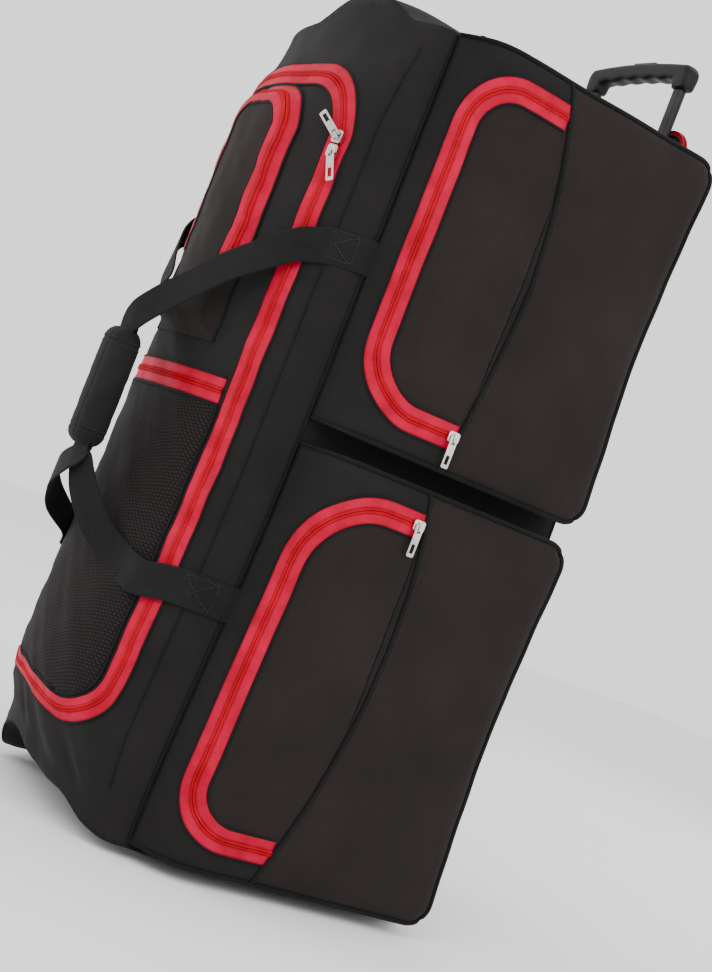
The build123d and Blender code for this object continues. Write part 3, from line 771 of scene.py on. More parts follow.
def pouch_edge(x, z):
    """Distance inside the pouch's outline, which is arched at its top."""
    right = np.maximum(np.abs(x) - (POUCH_HALF - POUCH_R), 0)
    up = np.maximum(z - (POUCH_HI.z - POUCH_R), 0)
    return np.minimum(POUCH_R - np.hypot(right, up), z - POUCH_LO.z)


def pouch_surface(u, z):
    """The pouch's outside: it rises from its sewn edge over a sloping side."""
    p, n = surface_frame(front_surface, u, z)
    x, _ = dome_xy(np.interp(u, DOME_RUN, DOME_ANGLES))
    inset = pouch_edge(x, z)
    rise = 1.2 * MM + POUCH_RISE * smooth(inset / POUCH_SLOPE) + 5 * MM * smooth((inset - 0.02) / 0.05)
    return p + n * rise[..., None]


def arch_path(inset, low, step=5 * MM):
    """An inverted U inside the pouch's outline, from its left foot to its right foot."""
    radius = POUCH_R - inset
    half = POUCH_HALF - inset
    top = POUCH_HI.z - inset
    pts = [(half, low), (half, top - radius)]
    for t in np.linspace(0, math.pi / 2, 13)[1:]:
        pts.append((half - radius + radius * math.cos(t), top - radius + radius * math.sin(t)))
    pts += [(-x, z) for x, z in reversed(pts)]
    return [tuple(p) for p in densify(pts, step)]


def make_pouch():
    """The upper pocket on the lid, with its arched zip and its sewn edge."""
    outline = arch_path(0.5 * MM, POUCH_LO.z)
    base = [tuple(p) for p in densify([outline[-1], outline[0]], 6 * MM)][1:-1]
    pouch = trimmed_sheet("lid_pouch", flat(outline + base), [], pouch_surface, 6 * MM, PANEL_CLOTH, 1.5 * MM)
    finish_piece(pouch, "lid", "panel_fabric", "lid_pocket")
    low = POUCH_LO.z + 92 * MM
    closure = whole_zip("lid_pouch_zip", pouch_surface, flat(arch_path(15 * MM, low)))
    finish_piece(closure, "lid", "red_zip", "lid_pocket_zip")
    welt = piping("lid_pouch_edge", front_surface, flat(outline), 1.8 * MM)
    finish_piece(welt, "lid", "panel_fabric")


MESH_LO, MESH_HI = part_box("mesh_pocket")
MESH_ZIP_LO, MESH_ZIP_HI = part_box("mesh_pocket_zip")
MESH_HALF = MESH_HI.x


def mesh_surface(u, z):
    """The mesh bellies out a little between its sewn edges."""
    p, n = surface_frame(front_surface, u, z)
    across = 1 - (p[..., 0] / MESH_HALF) ** 2
    up = (z - MESH_LO.z) / (MESH_HI.z - MESH_LO.z)
    belly = 9 * MM * np.maximum(across, 0) ** 0.7 * np.maximum(4 * up * (1 - up), 0) ** 0.6
    return p + n * (1.0 * MM + belly + rough(p, 0.05, 0.8 * MM, 0.5))[..., None]


def make_mesh_pocket():
    """The mesh pocket on the lid, with its straight zip and its hem."""
    radius = LID_R - (LID_HALF - MESH_HALF)
    outline = rounded_loop(
        -MESH_HALF, MESH_HALF, MESH_LO.z, MESH_HI.z, radius, 6 * MM, (1, 0, 0, 1)
    )
    pocket = trimmed_sheet("mesh_pocket_sheet", flat(outline), [], mesh_surface, 6 * MM, MESH_CLOTH, 1.0 * MM)
    finish_piece(pocket, "lid", "mesh", "mesh_pocket")
    middle = (MESH_ZIP_LO.z + MESH_ZIP_HI.z) / 2
    half = MESH_HALF - 1 * MM
    straight = [(-half, middle), (half, middle)]
    closure = whole_zip("mesh_pocket_closure", front_surface, flat(densify(straight, 6 * MM)))
    finish_piece(closure, "lid", "red_zip", "mesh_pocket_zip")
    welt = piping("mesh_pocket_hem", front_surface, flat(outline), 1.7 * MM)
    finish_piece(welt, "lid", "black_fabric")


make_pouch()
make_mesh_pocket()


# ---------------------------------------------------------------- ends, sides and back of the body
def rim_y(x, z_end):
    """Where the lid face's end edge lies at x."""
    return seam_y(z_end) + dome_share(z_end) * np.interp(x, DOME_X, DOME_Y)


def end_weight(x, y, z_end, back):
    """1 at the lid face's edge, falling to 0 at the line y = back."""
    front = rim_y(x, z_end)
    return smooth((back - y) / (back - front))


def top_surface(x, y):
    """The top end: it meets the lid face in front and sags into a low pillow behind."""
    w = end_weight(x, y, TOP, 0.07)
    across = np.maximum(1 - (x / HALF_W) ** 2, 0)
    front = rim_y(x, TOP)
    depth = np.clip((y - front) / (0.10 - front), 0, 1)
    pillow = 20 * MM * across * np.sin(math.pi * depth)
    back = 3 * MM * across * smooth((BACK_Y - y) / 0.05)
    z = TOP - 1.0 * MM + top_lift(x) * w + pillow + back
    return stack(x, y, z + rough(stack(x, y, 0), 0.09, 1.2 * MM, 0.2) * across)


def bottom_surface(x, y):
    """The bottom end, slack in front."""
    w = end_weight(x, y, BOTTOM, -0.04)
    z = BOTTOM + bottom_lift(x) * w + rough(stack(x, y, 1), 0.07, 1.6 * MM, 0.4) * (0.3 + w)
    return stack(x, y, np.maximum(z, 1.5 * MM))


def section_outline(z_end, step=7 * MM):
    """The body's outline seen from above at one end."""
    front = front_surface(np.linspace(0, DOME_LENGTH, 61), z_end)[:, :2]
    back = densify([front[-1], (HALF_W, BACK_Y), (-HALF_W, BACK_Y), front[0]], step)
    return [tuple(p) for p in front] + [tuple(p) for p in back[1:-1]]


def make_ends():
    """The panels at the top and the bottom."""
    top = trimmed_sheet("top_end", section_outline(TOP), [], top_surface, 8 * MM, BODY_CLOTH)
    finish_piece(top, "bag", "black_fabric", "top_end_panel")
    outline = section_outline(BOTTOM)
    bottom = trimmed_sheet("bottom_end", outline, [], bottom_surface, 8 * MM, BODY_CLOTH, flip=True)
    finish_piece(bottom, "bag", "black_fabric", "bottom_end_panel")


def side_surface(y, z):
    """The right side of the body, which leans with its front seam."""
    front = smooth((SEAM_Y + 0.12 - y) / 0.12)
    lean = (seam_y(z) - SEAM_Y) * front
    reach = 0.1
    ends = top_lift(HALF_W) * smooth((z - TOP + reach) / reach)
    ends = ends + bottom_lift(HALF_W) * smooth((BOTTOM + reach - z) / reach)
    bulge = rough(stack(1, y, z), 0.1, 1.0 * MM, 0.6)
    return stack(HALF_W - 1 * MM + bulge, y + lean, z + ends * front)


def back_surface(x, z):
    """The nearly flat back."""
    return stack(x, BACK_Y + rough(stack(x, 1, z), 0.1, 0.8 * MM, 0.8), z)


def make_sides_and_back():
    """Both side panels and the back panel."""
    outline = rounded_loop(SEAM_Y, BACK_Y, BOTTOM, TOP, 0, 8 * MM)
    right = trimmed_sheet("side_right", outline, [], side_surface, 9 * MM, BODY_CLOTH)
    left = mirrored(right, "side_left")
    for side in (right, left):
        finish_piece(side, "bag", "black_fabric", "side_panels")
    outline = rounded_loop(-HALF_W, HALF_W, BOTTOM, TOP, 0, 8 * MM)
    back = trimmed_sheet("back", outline, [], back_surface, 9 * MM, BODY_CLOTH, flip=True)
    finish_piece(back, "bag", "black_fabric", "back_panel")


make_ends()
make_sides_and_back()


# ---------------------------------------------------------------- side pockets
POCKET_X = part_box("upper_right_pocket")[1].x
POCKET_DEEP = POCKET_X - HALF_W
FOOT_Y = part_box("upper_right_pocket")[0].y
FACE_Y = FOOT_Y + 32 * MM
POCKET_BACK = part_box("upper_right_pocket")[1].y
FLAP_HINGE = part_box("upper_right_pocket_flap")[1].y
FLAP_END = 37 * MM          # from a pocket's end to the end of its door
CORNER_R = 26 * MM          # radius of the rear corners, seen from the side
SEAM_APEX_Y = 59 * MM       # where the curved seam is furthest back
SEAM_ROW = 4.5 * MM         # a sewn row's distance from that seam
FRONT_BEND = 26 * MM        # bend between the sloping front wall and the face
REAR_BEND = 14 * MM         # bend between the face and the back wall
END_BEND = 12 * MM          # bend between the face and the end walls


def bent_profile(corners, bends, count=10):
    """A polyline whose inner corners are rounded, as a table of run, position and height."""
    pts = [corners[0]]
    for i, cut in zip(range(1, len(corners) - 1), bends):
        here = np.array(corners[i])
        back, on = np.array(corners[i - 1]) - here, np.array(corners[i + 1]) - here
        before = here + back / np.linalg.norm(back) * cut
        after = here + on / np.linalg.norm(on) * cut
        for t in np.linspace(0, 1, count):
            pts.append(tuple((1 - t) ** 2 * before + 2 * t * (1 - t) * here + t ** 2 * after))
    pts.append(corners[-1])
    pts = np.array(pts, float)
    run = np.concatenate([[0], np.cumsum(np.linalg.norm(np.diff(pts, axis=0), axis=1))])
    return run, pts[:, 0], (pts[:, 1] - HALF_W) / POCKET_DEEP


class Pocket:
    """One side pocket of the right side: its skin as a surface of run (a) and height run (b)."""

    def __init__(self, row, apex, drop_top, drop_bottom, corner_top, corner_bottom):
        """Its row, the curved seam's apex and drops, and the corner radii of its zip."""
        lo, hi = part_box(row + "_right_pocket")
        self.row = row
        self.low, self.high = lo.z, hi.z
        self.apex, self.drop_top, self.drop_bottom = apex, drop_top, drop_bottom
        self.corner_top, self.corner_bottom = corner_top, corner_bottom
        self.around = bent_profile(
            [(FOOT_Y, HALF_W), (FACE_Y, POCKET_X), (POCKET_BACK, POCKET_X), (POCKET_BACK, HALF_W)],
            (FRONT_BEND, REAR_BEND),
        )
        self.upward = bent_profile(
            [(self.low, HALF_W), (self.low, POCKET_X), (self.high, POCKET_X), (self.high, HALF_W)],
            (END_BEND, END_BEND),
        )
        self.wall_a = self.around[0][-1] - POCKET_DEEP + REAR_BEND
        self.wall_b = (POCKET_DEEP - END_BEND, self.upward[0][-1] - POCKET_DEEP + END_BEND)

    def a_of(self, y):
        """The run round the pocket at y on its face."""
        run, pos, _ = self.around
        last = int(np.argmax(pos >= POCKET_BACK - 1e-9))
        return float(np.interp(y, pos[: last + 1], run[: last + 1]))

    def b_of(self, z):
        """The run up the pocket at height z on its face."""
        run, pos, _ = self.upward
        first = int(np.argmax(pos > self.low + 1e-9)) - 1
        last = int(np.argmax(pos >= self.high - 1e-9))
        return float(np.interp(z, pos[first: last + 1], run[first: last + 1]))

    def seam(self, z):
        """The curved seam that divides the face, further forward at its ends."""
        up = np.clip((z - self.apex) / (self.high - self.apex), 0, 1)
        down = np.clip((self.apex - z) / (self.apex - self.low), 0, 1)
        return SEAM_APEX_Y - self.drop_top * up ** 2 - self.drop_bottom * down ** 2

    def puff(self, y, z):
        """How far the padded face swells out at y, z: one pillow on each side of the curved seam."""
        seam = self.seam(z)
        up = (z - self.low) / (self.high - self.low)
        column = np.maximum(4 * up * (1 - up), 0) ** 0.5
        behind = np.clip((y - seam) / (POCKET_BACK - seam), 0, 1)
        rear = 8 * MM * np.sin(math.pi * behind) ** 0.7 * column
        inner = (z - self.low - FLAP_END) / (self.high - self.low - 2 * FLAP_END)
        inner = np.maximum(4 * inner * (1 - inner), 0) ** 0.6
        before = np.clip((y - FACE_Y) / (seam - FACE_Y), 0, 1)
        return rear + 6 * MM * np.sin(math.pi * before) ** 0.8 * inner

    def surface(self, a, b):
        """The skin: bent round its edges, swollen, pinched at its rear corners and leaning in front."""
        a, b = np.broadcast_arrays(a, b)
        run, pos, share = self.around
        y, h = np.interp(a, run, pos), np.interp(a, run, share)
        run, pos, share = self.upward
        z, g = np.interp(b, run, pos), np.interp(b, run, share)
        swell = self.puff(y, z) * smooth(h * 1.6 - 0.6) * g
        swell = swell + rough(stack(2, y, z), 0.1, 1.4 * MM, 0.9) * h * g
        x = HALF_W + POCKET_DEEP * h * g + swell
        mid, half = (self.low + self.high) / 2, (self.high - self.low) / 2
        dy = np.maximum(y - (POCKET_BACK - CORNER_R), 1e-9)
        dz = np.maximum(np.abs(z - mid) - (half - CORNER_R), 1e-9)
        pull = np.maximum(dy, dz) / np.hypot(dy, dz)
        corner = (dy > 1e-8) & (dz > 1e-8)
        y = np.where(corner, POCKET_BACK - CORNER_R + dy * pull, y)
        z = np.where(corner, mid + np.sign(z - mid) * (half - CORNER_R + dz * pull), z)
        waist = np.maximum(1 - ((z - mid) / (half - 0.015)) ** 2, 0) ** 1.5
        y = y - 10 * MM * waist * smooth((y - 0.10) / 0.13)
        front = 1 - smooth((y - FOOT_Y) / 0.16)
        return stack(x, y + (seam_y(z) - SEAM_Y - 3 * MM) * front, z)

    def outline(self, step=7 * MM):
        """The skin's flat outline, notched where the back wall meets the end walls."""
        far = self.around[0][-1]
        top = self.upward[0][-1]
        low_b, high_b = self.wall_b
        corners = [
            (0, 0), (self.wall_a, 0), (self.wall_a, low_b), (far, low_b),
            (far, high_b), (self.wall_a, high_b), (self.wall_a, top), (0, top), (0, 0),
        ]
        out = []
        for p, q in zip(corners[:-1], corners[1:]):
            out += [tuple(r) for r in densify([p, q], step)][:-1]
        return out

    def coil_path(self, inset=0.0):
        """The zip's line in the flat, from its lower end forwards, up the front wall and back."""
        front = 42 * MM + inset
        low = self.b_of(self.low + FLAP_END) + inset
        high = self.b_of(self.high - FLAP_END) - inset
        ends = [
            self.a_of(min(self.seam(z), FLAP_HINGE + 9 * MM) - 3 * MM)
            for z in (self.low + FLAP_END, self.high - FLAP_END)
        ]
        pts = [(ends[0], low)]
        for (x, y, r, start) in (
            (front, low, self.corner_bottom - inset, 270), (front, high, self.corner_top - inset, 180)
        ):
            sign = 1 if start == 270 else -1
            for k in range(13):
                t = math.radians(start - 90 * k / 12)
                pts.append((x + r + r * math.cos(t), y + sign * r + r * math.sin(t)))
        pts.append((ends[1], high))
        return [tuple(p) for p in densify(pts, 5 * MM)]

    def back_edge(self, gap):
        """The flap's fold, in front of the hinge line and of the curved seam, from top to bottom."""
        zs = np.linspace(self.high - FLAP_END, self.low + FLAP_END, 40)
        return [(self.a_of(min(FLAP_HINGE, self.seam(z) - 3.5 * MM) - gap), self.b_of(z)) for z in zs]

    def flap_loop(self, gap):
        """The flap's outline in the flat."""
        coil = self.coil_path(gap)
        back = self.back_edge(gap)
        limit_low = min(p[0] for p in back[-3:])
        limit_high = min(p[0] for p in back[:3])
        kept = [p for p in coil if p[0] < (limit_low if p[1] < self.b_of(self.apex) else limit_high) - 3 * MM]
        low = self.b_of(self.low + FLAP_END) + gap
        high = self.b_of(self.high - FLAP_END) - gap
        edge = [(a, min(max(b, low), high)) for a, b in back]
        return kept + edge


UPPER = Pocket("upper", TOP - 224 * MM, 41 * MM, 24 * MM, 52 * MM, 66 * MM)
LOWER = Pocket("lower", BOTTOM + 298 * MM, 21 * MM, 51 * MM, 82 * MM, 52 * MM)


def darken_front(shell, pocket):
    """The skin in front of the curved seam is the plain black fabric; behind it is the brown-black panel."""
    shell.data.materials.append(BODY_CLOTH)
    middles = np.array([face.center for face in shell.data.polygons])
    ahead = middles[:, 1] < pocket.seam(middles[:, 2])
    shell.data.polygons.foreach_set("material_index", ahead.astype(int))


def make_pocket(pocket):
    """One pocket on each side: skin, door, both zip halves, piping, edge and sewn rows."""
    row = pocket.row
    cell = 7 * MM
    hole = pocket.flap_loop(-0.6 * MM)
    shell = trimmed_sheet(row + "_right_shell", pocket.outline(), [hole], pocket.surface, cell, PANEL_CLOTH)
    darken_front(shell, pocket)
    door = pocket.flap_loop(0.8 * MM)
    flap = trimmed_sheet(row + "_right_door", door, [], pocket.surface, cell, PANEL_CLOTH)
    path = pocket.coil_path()
    outer = zip_half(row + "_right_zip_outer", pocket.surface, path, 1)
    inner = zip_half(row + "_right_zip_inner", pocket.surface, path, -1)
    lo_z, hi_z = pocket.low + 2 * MM, pocket.high - 2 * MM
    seam_path = [(pocket.a_of(pocket.seam(z)), pocket.b_of(z)) for z in np.linspace(lo_z, hi_z, 60)]
    cord = piping(row + "_right_seam_piping", pocket.surface, seam_path, 2.3 * MM)
    edge_a = pocket.wall_a - 9 * MM
    low_b, high_b = pocket.wall_b[0] + 7 * MM, pocket.wall_b[1] - 7 * MM
    edge = densify([(2 * MM, low_b), (edge_a, low_b), (edge_a, high_b), (2 * MM, high_b)], 4 * MM)
    edge_cord = piping(row + "_right_edge_piping", pocket.surface, edge, 2.6 * MM, 0.3)
    rows = []
    for number, beside in ((1, -SEAM_ROW), (2, SEAM_ROW)):
        line = [(a + beside, b) for a, b in seam_path]
        rows.append(stitches(f"{row}_s{number}", pocket.surface, line, 0.1 * MM))
    thread = join(row + "_right_stitches", rows)
    fixed = [
        (shell, "shell", "panel_fabric", "{}_{}_pocket"), (outer, "zip_outer", "red_zip", "side_pocket_zips"),
        (cord, "seam_piping", "panel_fabric", None), (edge_cord, "edge_piping", "panel_fabric", None),
        (thread, "stitches", "panel_fabric", None),
    ]
    doors = [(flap, "door", "panel_fabric", "{}_{}_pocket_flap"), (inner, "zip_inner", "red_zip", None)]
    for piece, ending, slot, node in fixed + doors:
        twin = mirrored(piece, f"{row}_left_{ending}")
        for item, side, x in ((piece, "right", POCKET_X), (twin, "left", -POCKET_X)):
            if node:
                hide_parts(node.format(row, side))
            if ending in ("door", "zip_inner"):
                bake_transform(item)
            else:
                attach(item, "bag")


make_pocket(UPPER)
make_pocket(LOWER)


# ---------------------------------------------------------------- carry straps and their padded wrap
WEB_W = 38 * MM          # width of the webbing
WEB_T = 2.4 * MM         # its thickness
STRAP_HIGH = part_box("right_carry_strap")[1].z - WEB_W / 2 - 0.5 * MM     # middle of the upper anchors
STRAP_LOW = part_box("right_carry_strap")[0].z + WEB_W / 2 + 1.5 * MM      # middle of the lower anchors
WRAP_MID = (WRAP_LO + WRAP_HI) / 2
WRAP_TOP = WRAP_HI.z
WRAP_FOOT = WRAP_LO.z


def webbing_section(width=WEB_W, thick=WEB_T, ribs=9):
    """A flat band with fine lengthwise ribs and rounded edges."""
    top = []
    for k in range(ribs * 2 + 1):
        across = -width / 2 + 0.8 * MM + (width - 1.6 * MM) * k / (ribs * 2)
        top.append((across, thick / 2 - (0.22 * MM if k % 2 else 0)))
    ends = [(width / 2, thick * 0.2), (width / 2, -thick * 0.2)]
    bottom = [(a, -h) for a, h in reversed(top)]
    return top + ends + bottom + [(-a, -h) for a, h in ends]


def eased(points, step=5 * MM):
    """A smooth line through points (Catmull-Rom), with further columns carried along."""
    pts = np.array(points, float)
    ends = np.vstack([2 * pts[0] - pts[1], pts, 2 * pts[-1] - pts[-2]])
    out = []
    for i in range(1, len(ends) - 2):
        a, b, c, d = ends[i - 1], ends[i], ends[i + 1], ends[i + 2]
        count = max(2, int(np.linalg.norm((c - b)[:3]) / step))
        for t in np.linspace(0, 1, count, endpoint=False):
            out.append(0.5 * (2 * b + (c - a) * t + (2 * a - 5 * b + 4 * c - d) * t ** 2
                              + (3 * b - a - 3 * c + d) * t ** 3))
    out.append(pts[-1])
    return np.array(out)


def on_lid(x, z, lift):
    """A station lying on the lid face: its place and the way it faces."""
    p, n = surface_frame(front_surface, u_of_x(x * MM), z)
    return (*(p + n * lift * MM), *n)


def free(x, y, z, facing):
    """A station in the air, from the wrap's middle: millimetres right, back and up, and its facing."""
    n = Vector(facing).normalized()
    return (WRAP_MID.x + x * MM, WRAP_MID.y + y * MM, WRAP_MID.z + z * MM, *n)


def strap_path(side, layer):
    """One strap: from its upper anchor across the lid, through the wrap and back to its lower anchor."""
    s = side
    upper = [on_lid(s * x, STRAP_HIGH + z * MM, lift) for x, z, lift in (
        (177, 0, 1.8), (164, -3, 2.2), (150, -8, 4), (134, -16, 8))]
    lower = [on_lid(s * x, STRAP_LOW + z * MM, lift) for x, z, lift in (
        (112, -8 if s > 0 else 10, 10), (136, -4, 7), (150, -1, 2.6), (164, 0, 1.8), (177, 0, 1.8))]
    through = [
        free(0, layer, 66, (0, -1, 0)), free(0, layer, 0, (0, -1, 0)), free(0, layer, -66, (0, -1, 0)),
    ]
    if side > 0:
        down = [
            free(98, 44, 168, (0.5, -0.85, 0.25)), free(64, 24, 136, (0.6, -0.7, 0.4)),
            free(34, 8, 108, (0.65, -0.6, 0.42)), free(10, layer, 84, (0.4, -0.85, 0.2)),
        ]
        up = [
            free(6, 3, -86, (0.25, -0.95, 0)), free(18, 14, -114, (0.5, -0.85, -0.1)),
            free(42, 32, -144, (0.55, -0.82, -0.15)), free(76, 54, -164, (0.4, -0.9, -0.1)),
        ]
    else:
        hugging = [on_lid(x, WRAP_MID.z + z * MM, lift) for x, z, lift in (
            (-118, 190, 12), (-84, 160, 16), (-50, 128, 20))]
        down = hugging + [free(-12, 6, 88, (-0.4, -0.85, 0.2))]
        up = [
            free(-8, -3, -82, (-0.1, -0.95, 0.2)), free(-34, -4, -98, (-0.2, -0.95, 0.1)),
            free(-64, 6, -112, (-0.4, -0.9, 0)), free(-90, 26, -134, (-0.6, -0.8, 0)),
        ]
    first, last = [
        [(s * (HALF_W + 1.2 * MM), SEAM_Y + y * MM, z, s, 0, 0) for y in (22, 8)]
        for z in (STRAP_HIGH, STRAP_LOW)
    ]
    return eased(first + upper + down + through + up + lower + last[::-1])


def make_straps():
    """Both carry straps with box stitching at their anchors."""
    for side, name, layer in ((1, "right", -2), (-1, "left", 3)):
        line = strap_path(side, layer)
        band = swept(name + "_strap_webbing", line[:, :3], line[:, 3:], webbing_section(), WEBBING)
        fix_normals(band)
        rows = []
        for middle in (STRAP_HIGH, STRAP_LOW):
            x0, x1 = side * 155 * MM, side * 175 * MM
            z0, z1 = middle - 15 * MM, middle + 15 * MM
            box = [(x0, z0), (x1, z0), (x1, z1), (x0, z1), (x0, z0), (x1, z1)]
            cross = [(x0, z1), (x1, z0)]
            for corners in (box, cross):
                path = flat(densify(corners, 3.6 * MM))
                rows.append(stitches(f"{name}_x{len(rows)}", front_surface, path, 3.1 * MM))
        strap = join(name + "_strap", [band] + rows)
        if side > 0:
            finish_piece(strap, "bag", "webbing", name + "_carry_strap")
            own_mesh(strap)
        else:
            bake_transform(strap)
            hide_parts(name + "_carry_strap")


def inflate(piece, voxel, pressure, cap):
    """Blow a closed fabric form up a little, as its padding does."""
    mod = piece.modifiers.new("voxels", "REMESH")
    mod.mode = "VOXEL"
    mod.voxel_size = voxel
    bake_modifiers(piece)
    before = np.array([v.co for v in piece.data.vertices])
    cloth = piece.modifiers.new("cloth", "CLOTH")
    cloth.settings.quality = 6
    cloth.settings.mass = 0.2
    cloth.settings.tension_stiffness = 25
    cloth.settings.compression_stiffness = 25
    cloth.settings.bending_stiffness = 2
    cloth.settings.use_pressure = True
    cloth.settings.uniform_pressure_force = pressure
    cloth.settings.effector_weights.gravity = 0
    for frame_number in range(1, 21):
        bpy.context.scene.frame_set(frame_number)
    bake_modifiers(piece)
    bpy.context.scene.frame_set(1)
    after = np.array([v.co for v in piece.data.vertices])
    moved = after - before
    far = np.linalg.norm(moved, axis=1, keepdims=True)
    after = before + moved * np.minimum(1, cap / np.maximum(far, 1e-9))
    piece.data.vertices.foreach_set("co", after.ravel())
    mod = piece.modifiers.new("finer", "SUBSURF")
    mod.levels = 1
    bake_modifiers(piece)
    piece.data.polygons.foreach_set("use_smooth", [True] * len(piece.data.polygons))
    return piece


WRAP_HALF_X = 24 * MM     # half its width
WRAP_HALF_Y = 18 * MM     # half its depth
WRAP_ROUNDING = 15 * MM   # length of its rounded ends


def wrap_ring(turns, z):
    """The wrap's outline at a height: a padded oblong, rounded at its ends; it starts at its back."""
    end = min(z - WRAP_FOOT, WRAP_TOP - z)
    near = 1 - min(1, max(0, end) / WRAP_ROUNDING)
    tuck = math.sqrt(max(0.0, 1 - 0.75 * near ** 2))
    angle = np.asarray(turns) * 2 * math.pi
    c, s = np.cos(angle), np.sin(angle)
    x = WRAP_HALF_X * np.sign(s) * np.abs(s) ** 0.6 * tuck
    y = WRAP_HALF_Y * np.sign(c) * np.abs(c) ** 0.7 * tuck
    return stack(WRAP_MID.x + x, WRAP_MID.y - 1.5 * MM + y, z)


def make_wrap():
    """The padded wrap that holds the straps together, inflated and drawn in at its seams."""
    rings = np.linspace(WRAP_FOOT, WRAP_TOP, 44)
    turns = np.arange(40) / 40
    verts = [wrap_ring(turns, z) for z in rings]
    body = mesh_piece("wrap_body", np.concatenate(verts), ring_faces(len(rings), len(turns)), WRAP_CLOTH)
    fix_normals(body)
    inflate(body, 4 * MM, 4, 2 * MM)
    fix_normals(body)
    place = np.array([v.co for v in body.data.vertices])
    out = place[:, :2] - [WRAP_MID.x, WRAP_MID.y]
    out /= np.maximum(np.linalg.norm(out, axis=1, keepdims=True), 1e-9)
    end = np.minimum(place[:, 2] - WRAP_FOOT, WRAP_TOP - place[:, 2])
    seam = np.exp(-((end - 17 * MM) / (1.6 * MM)) ** 2) * 0.9 * MM
    closing = np.exp(-((place[:, 0] - WRAP_MID.x - 9 * MM) / (1.5 * MM)) ** 2) * (place[:, 1] < WRAP_MID.y)
    place[:, :2] -= out * (seam + closing * 1.2 * MM)[:, None]
    place[:, :2] += out * rough(place, 0.022, 0.45 * MM, 0.35)[:, None]
    body.data.vertices.foreach_set("co", place.ravel())
    rows = []
    for inset in (20 * MM, 14.5 * MM):
        for z in (WRAP_FOOT + inset, WRAP_TOP - inset):
            rows.append(wrap_stitches(f"wrap_row_{len(rows)}", z))
    wrap = join("handle_wrap_pad", [body] + rows)
    finish_piece(wrap, "bag", "wrap_fabric", "handle_wrap")
    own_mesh(wrap)


def wrap_stitches(name, z):
    """A sewn row round the wrap near one end."""
    turns = np.linspace(0, 1, 241)
    ring = wrap_ring(turns, z)
    centre = np.array([WRAP_MID.x, WRAP_MID.y, z])
    dashes = []
    for k in range(0, 240, 5):
        part = ring[k:k + 4]
        normals = part - centre
        normals /= np.linalg.norm(normals, axis=1, keepdims=True)
        line = part + normals * 0.2 * MM
        dashes.append(swept(f"{name}_{k}", line, normals, round_section(0.35 * MM, 5), THREAD))
    return join(name, dashes)


def make_body_seams():
    """Sewn seams on the front: one fine line beside each leg of the main zip, and the edges at the sides."""
    lines = []
    for side in (-1, 1):
        fine = flat(densify([(side * 162 * MM, TOP - 30 * MM), (side * 162 * MM, BOTTOM + 50 * MM)], 6 * MM))
        lines.append(piping(f"body_line_{side + 1}", front_surface, fine, 0.9 * MM, 0.35))
        edge = 0.5 * MM if side < 0 else DOME_LENGTH - 0.5 * MM
        path = densify([(edge, TOP - 8 * MM), (edge, BOTTOM + 12 * MM)], 6 * MM)
        lines.append(piping(f"body_edge_{side + 1}", front_surface, path, 1.5 * MM, 0.5))
    finish_piece(join("body_seams", lines), "bag", "black_fabric")


make_body_seams()
make_straps()
make_wrap()


# ---------------------------------------------------------------- trolley grip and rear cover
UPPER_LO, UPPER_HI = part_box("upper_tubes")
UPPER_R = 8.1 * MM          # half width of an upper tube
TUBE_X = UPPER_HI.x - UPPER_R
TUBE_Y = (UPPER_LO.y + UPPER_HI.y) / 2
BUTTON_LO, BUTTON_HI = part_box("release_button")


def superellipse(half_a, half_b, power, count=24):
    """A closed section between an oval and an oblong."""
    turns = np.arange(count) / count * 2 * math.pi
    c, s = np.cos(turns), np.sin(turns)
    return [(half_a * math.copysign(abs(p) ** power, p), half_b * math.copysign(abs(q) ** power, q))
            for p, q in zip(c, s)]


def make_grip():
    """A moulded handle: an arched bar with finger bumps under it, and a deep socket over each tube."""
    reach = GRIP_HI.x
    thick, finger_pitch, fingers_end = 21 * MM, 30 * MM, 72 * MM
    xs = np.linspace(-reach + 4 * MM, reach - 4 * MM, 90)
    section = superellipse(11.2 * MM, 1.0, 0.55)
    verts = []
    for x in xs:
        ending = smooth((reach - abs(x)) / (13 * MM))
        top = GRIP_HI.z - 6 * MM * (x / reach) ** 2 - 4 * MM * (1 - ending)
        fingers = math.cos(2 * math.pi * x / finger_pitch) * smooth((fingers_end - abs(x)) / (14 * MM))
        low = top - thick + 0.9 * MM * fingers
        middle, half = (top + low) / 2, (top - low) / 2 * (0.55 + 0.45 * ending)
        thin = 0.7 + 0.3 * ending
        verts += [(x, TUBE_Y + a * thin, middle + b * half) for a, b in section]
    faces = ring_faces(len(xs), len(section))
    for side in (-1, 1):
        outline = superellipse(14.5 * MM, 11 * MM, 0.55)
        first = len(verts)
        levels = [
            (GRIP_LO.z, 0.86), (GRIP_LO.z + 3 * MM, 0.95),
            (GRIP_LO.z + 9 * MM, 1.0), (GRIP_HI.z - 15 * MM, 1.0),
        ]
        for z, grow in levels:
            verts += [(side * (TUBE_X + 2 * MM) + a * grow, TUBE_Y + b * grow, z) for a, b in outline]
        faces += ring_faces(len(levels), len(outline), first=first)
    grip = mesh_piece("moulded_grip", verts, faces, BLACK_PLASTIC)
    fix_normals(grip)
    mod = grip.modifiers.new("one skin", "REMESH")
    mod.mode = "VOXEL"
    mod.voxel_size = 1.6 * MM
    mod = grip.modifiers.new("soft edges", "SMOOTH")
    mod.iterations = 5
    bake_modifiers(grip)
    grip.data.polygons.foreach_set("use_smooth", [True] * len(grip.data.polygons))
    cutter = button_well()
    mod = grip.modifiers.new("button well", "BOOLEAN")
    mod.object = cutter
    mod.operation = "DIFFERENCE"
    mod.solver = "EXACT"
    bake_modifiers(grip)
    bpy.data.objects.remove(cutter)
    finish_piece(grip, "upper_stage", "black_plastic", "trolley_grip")


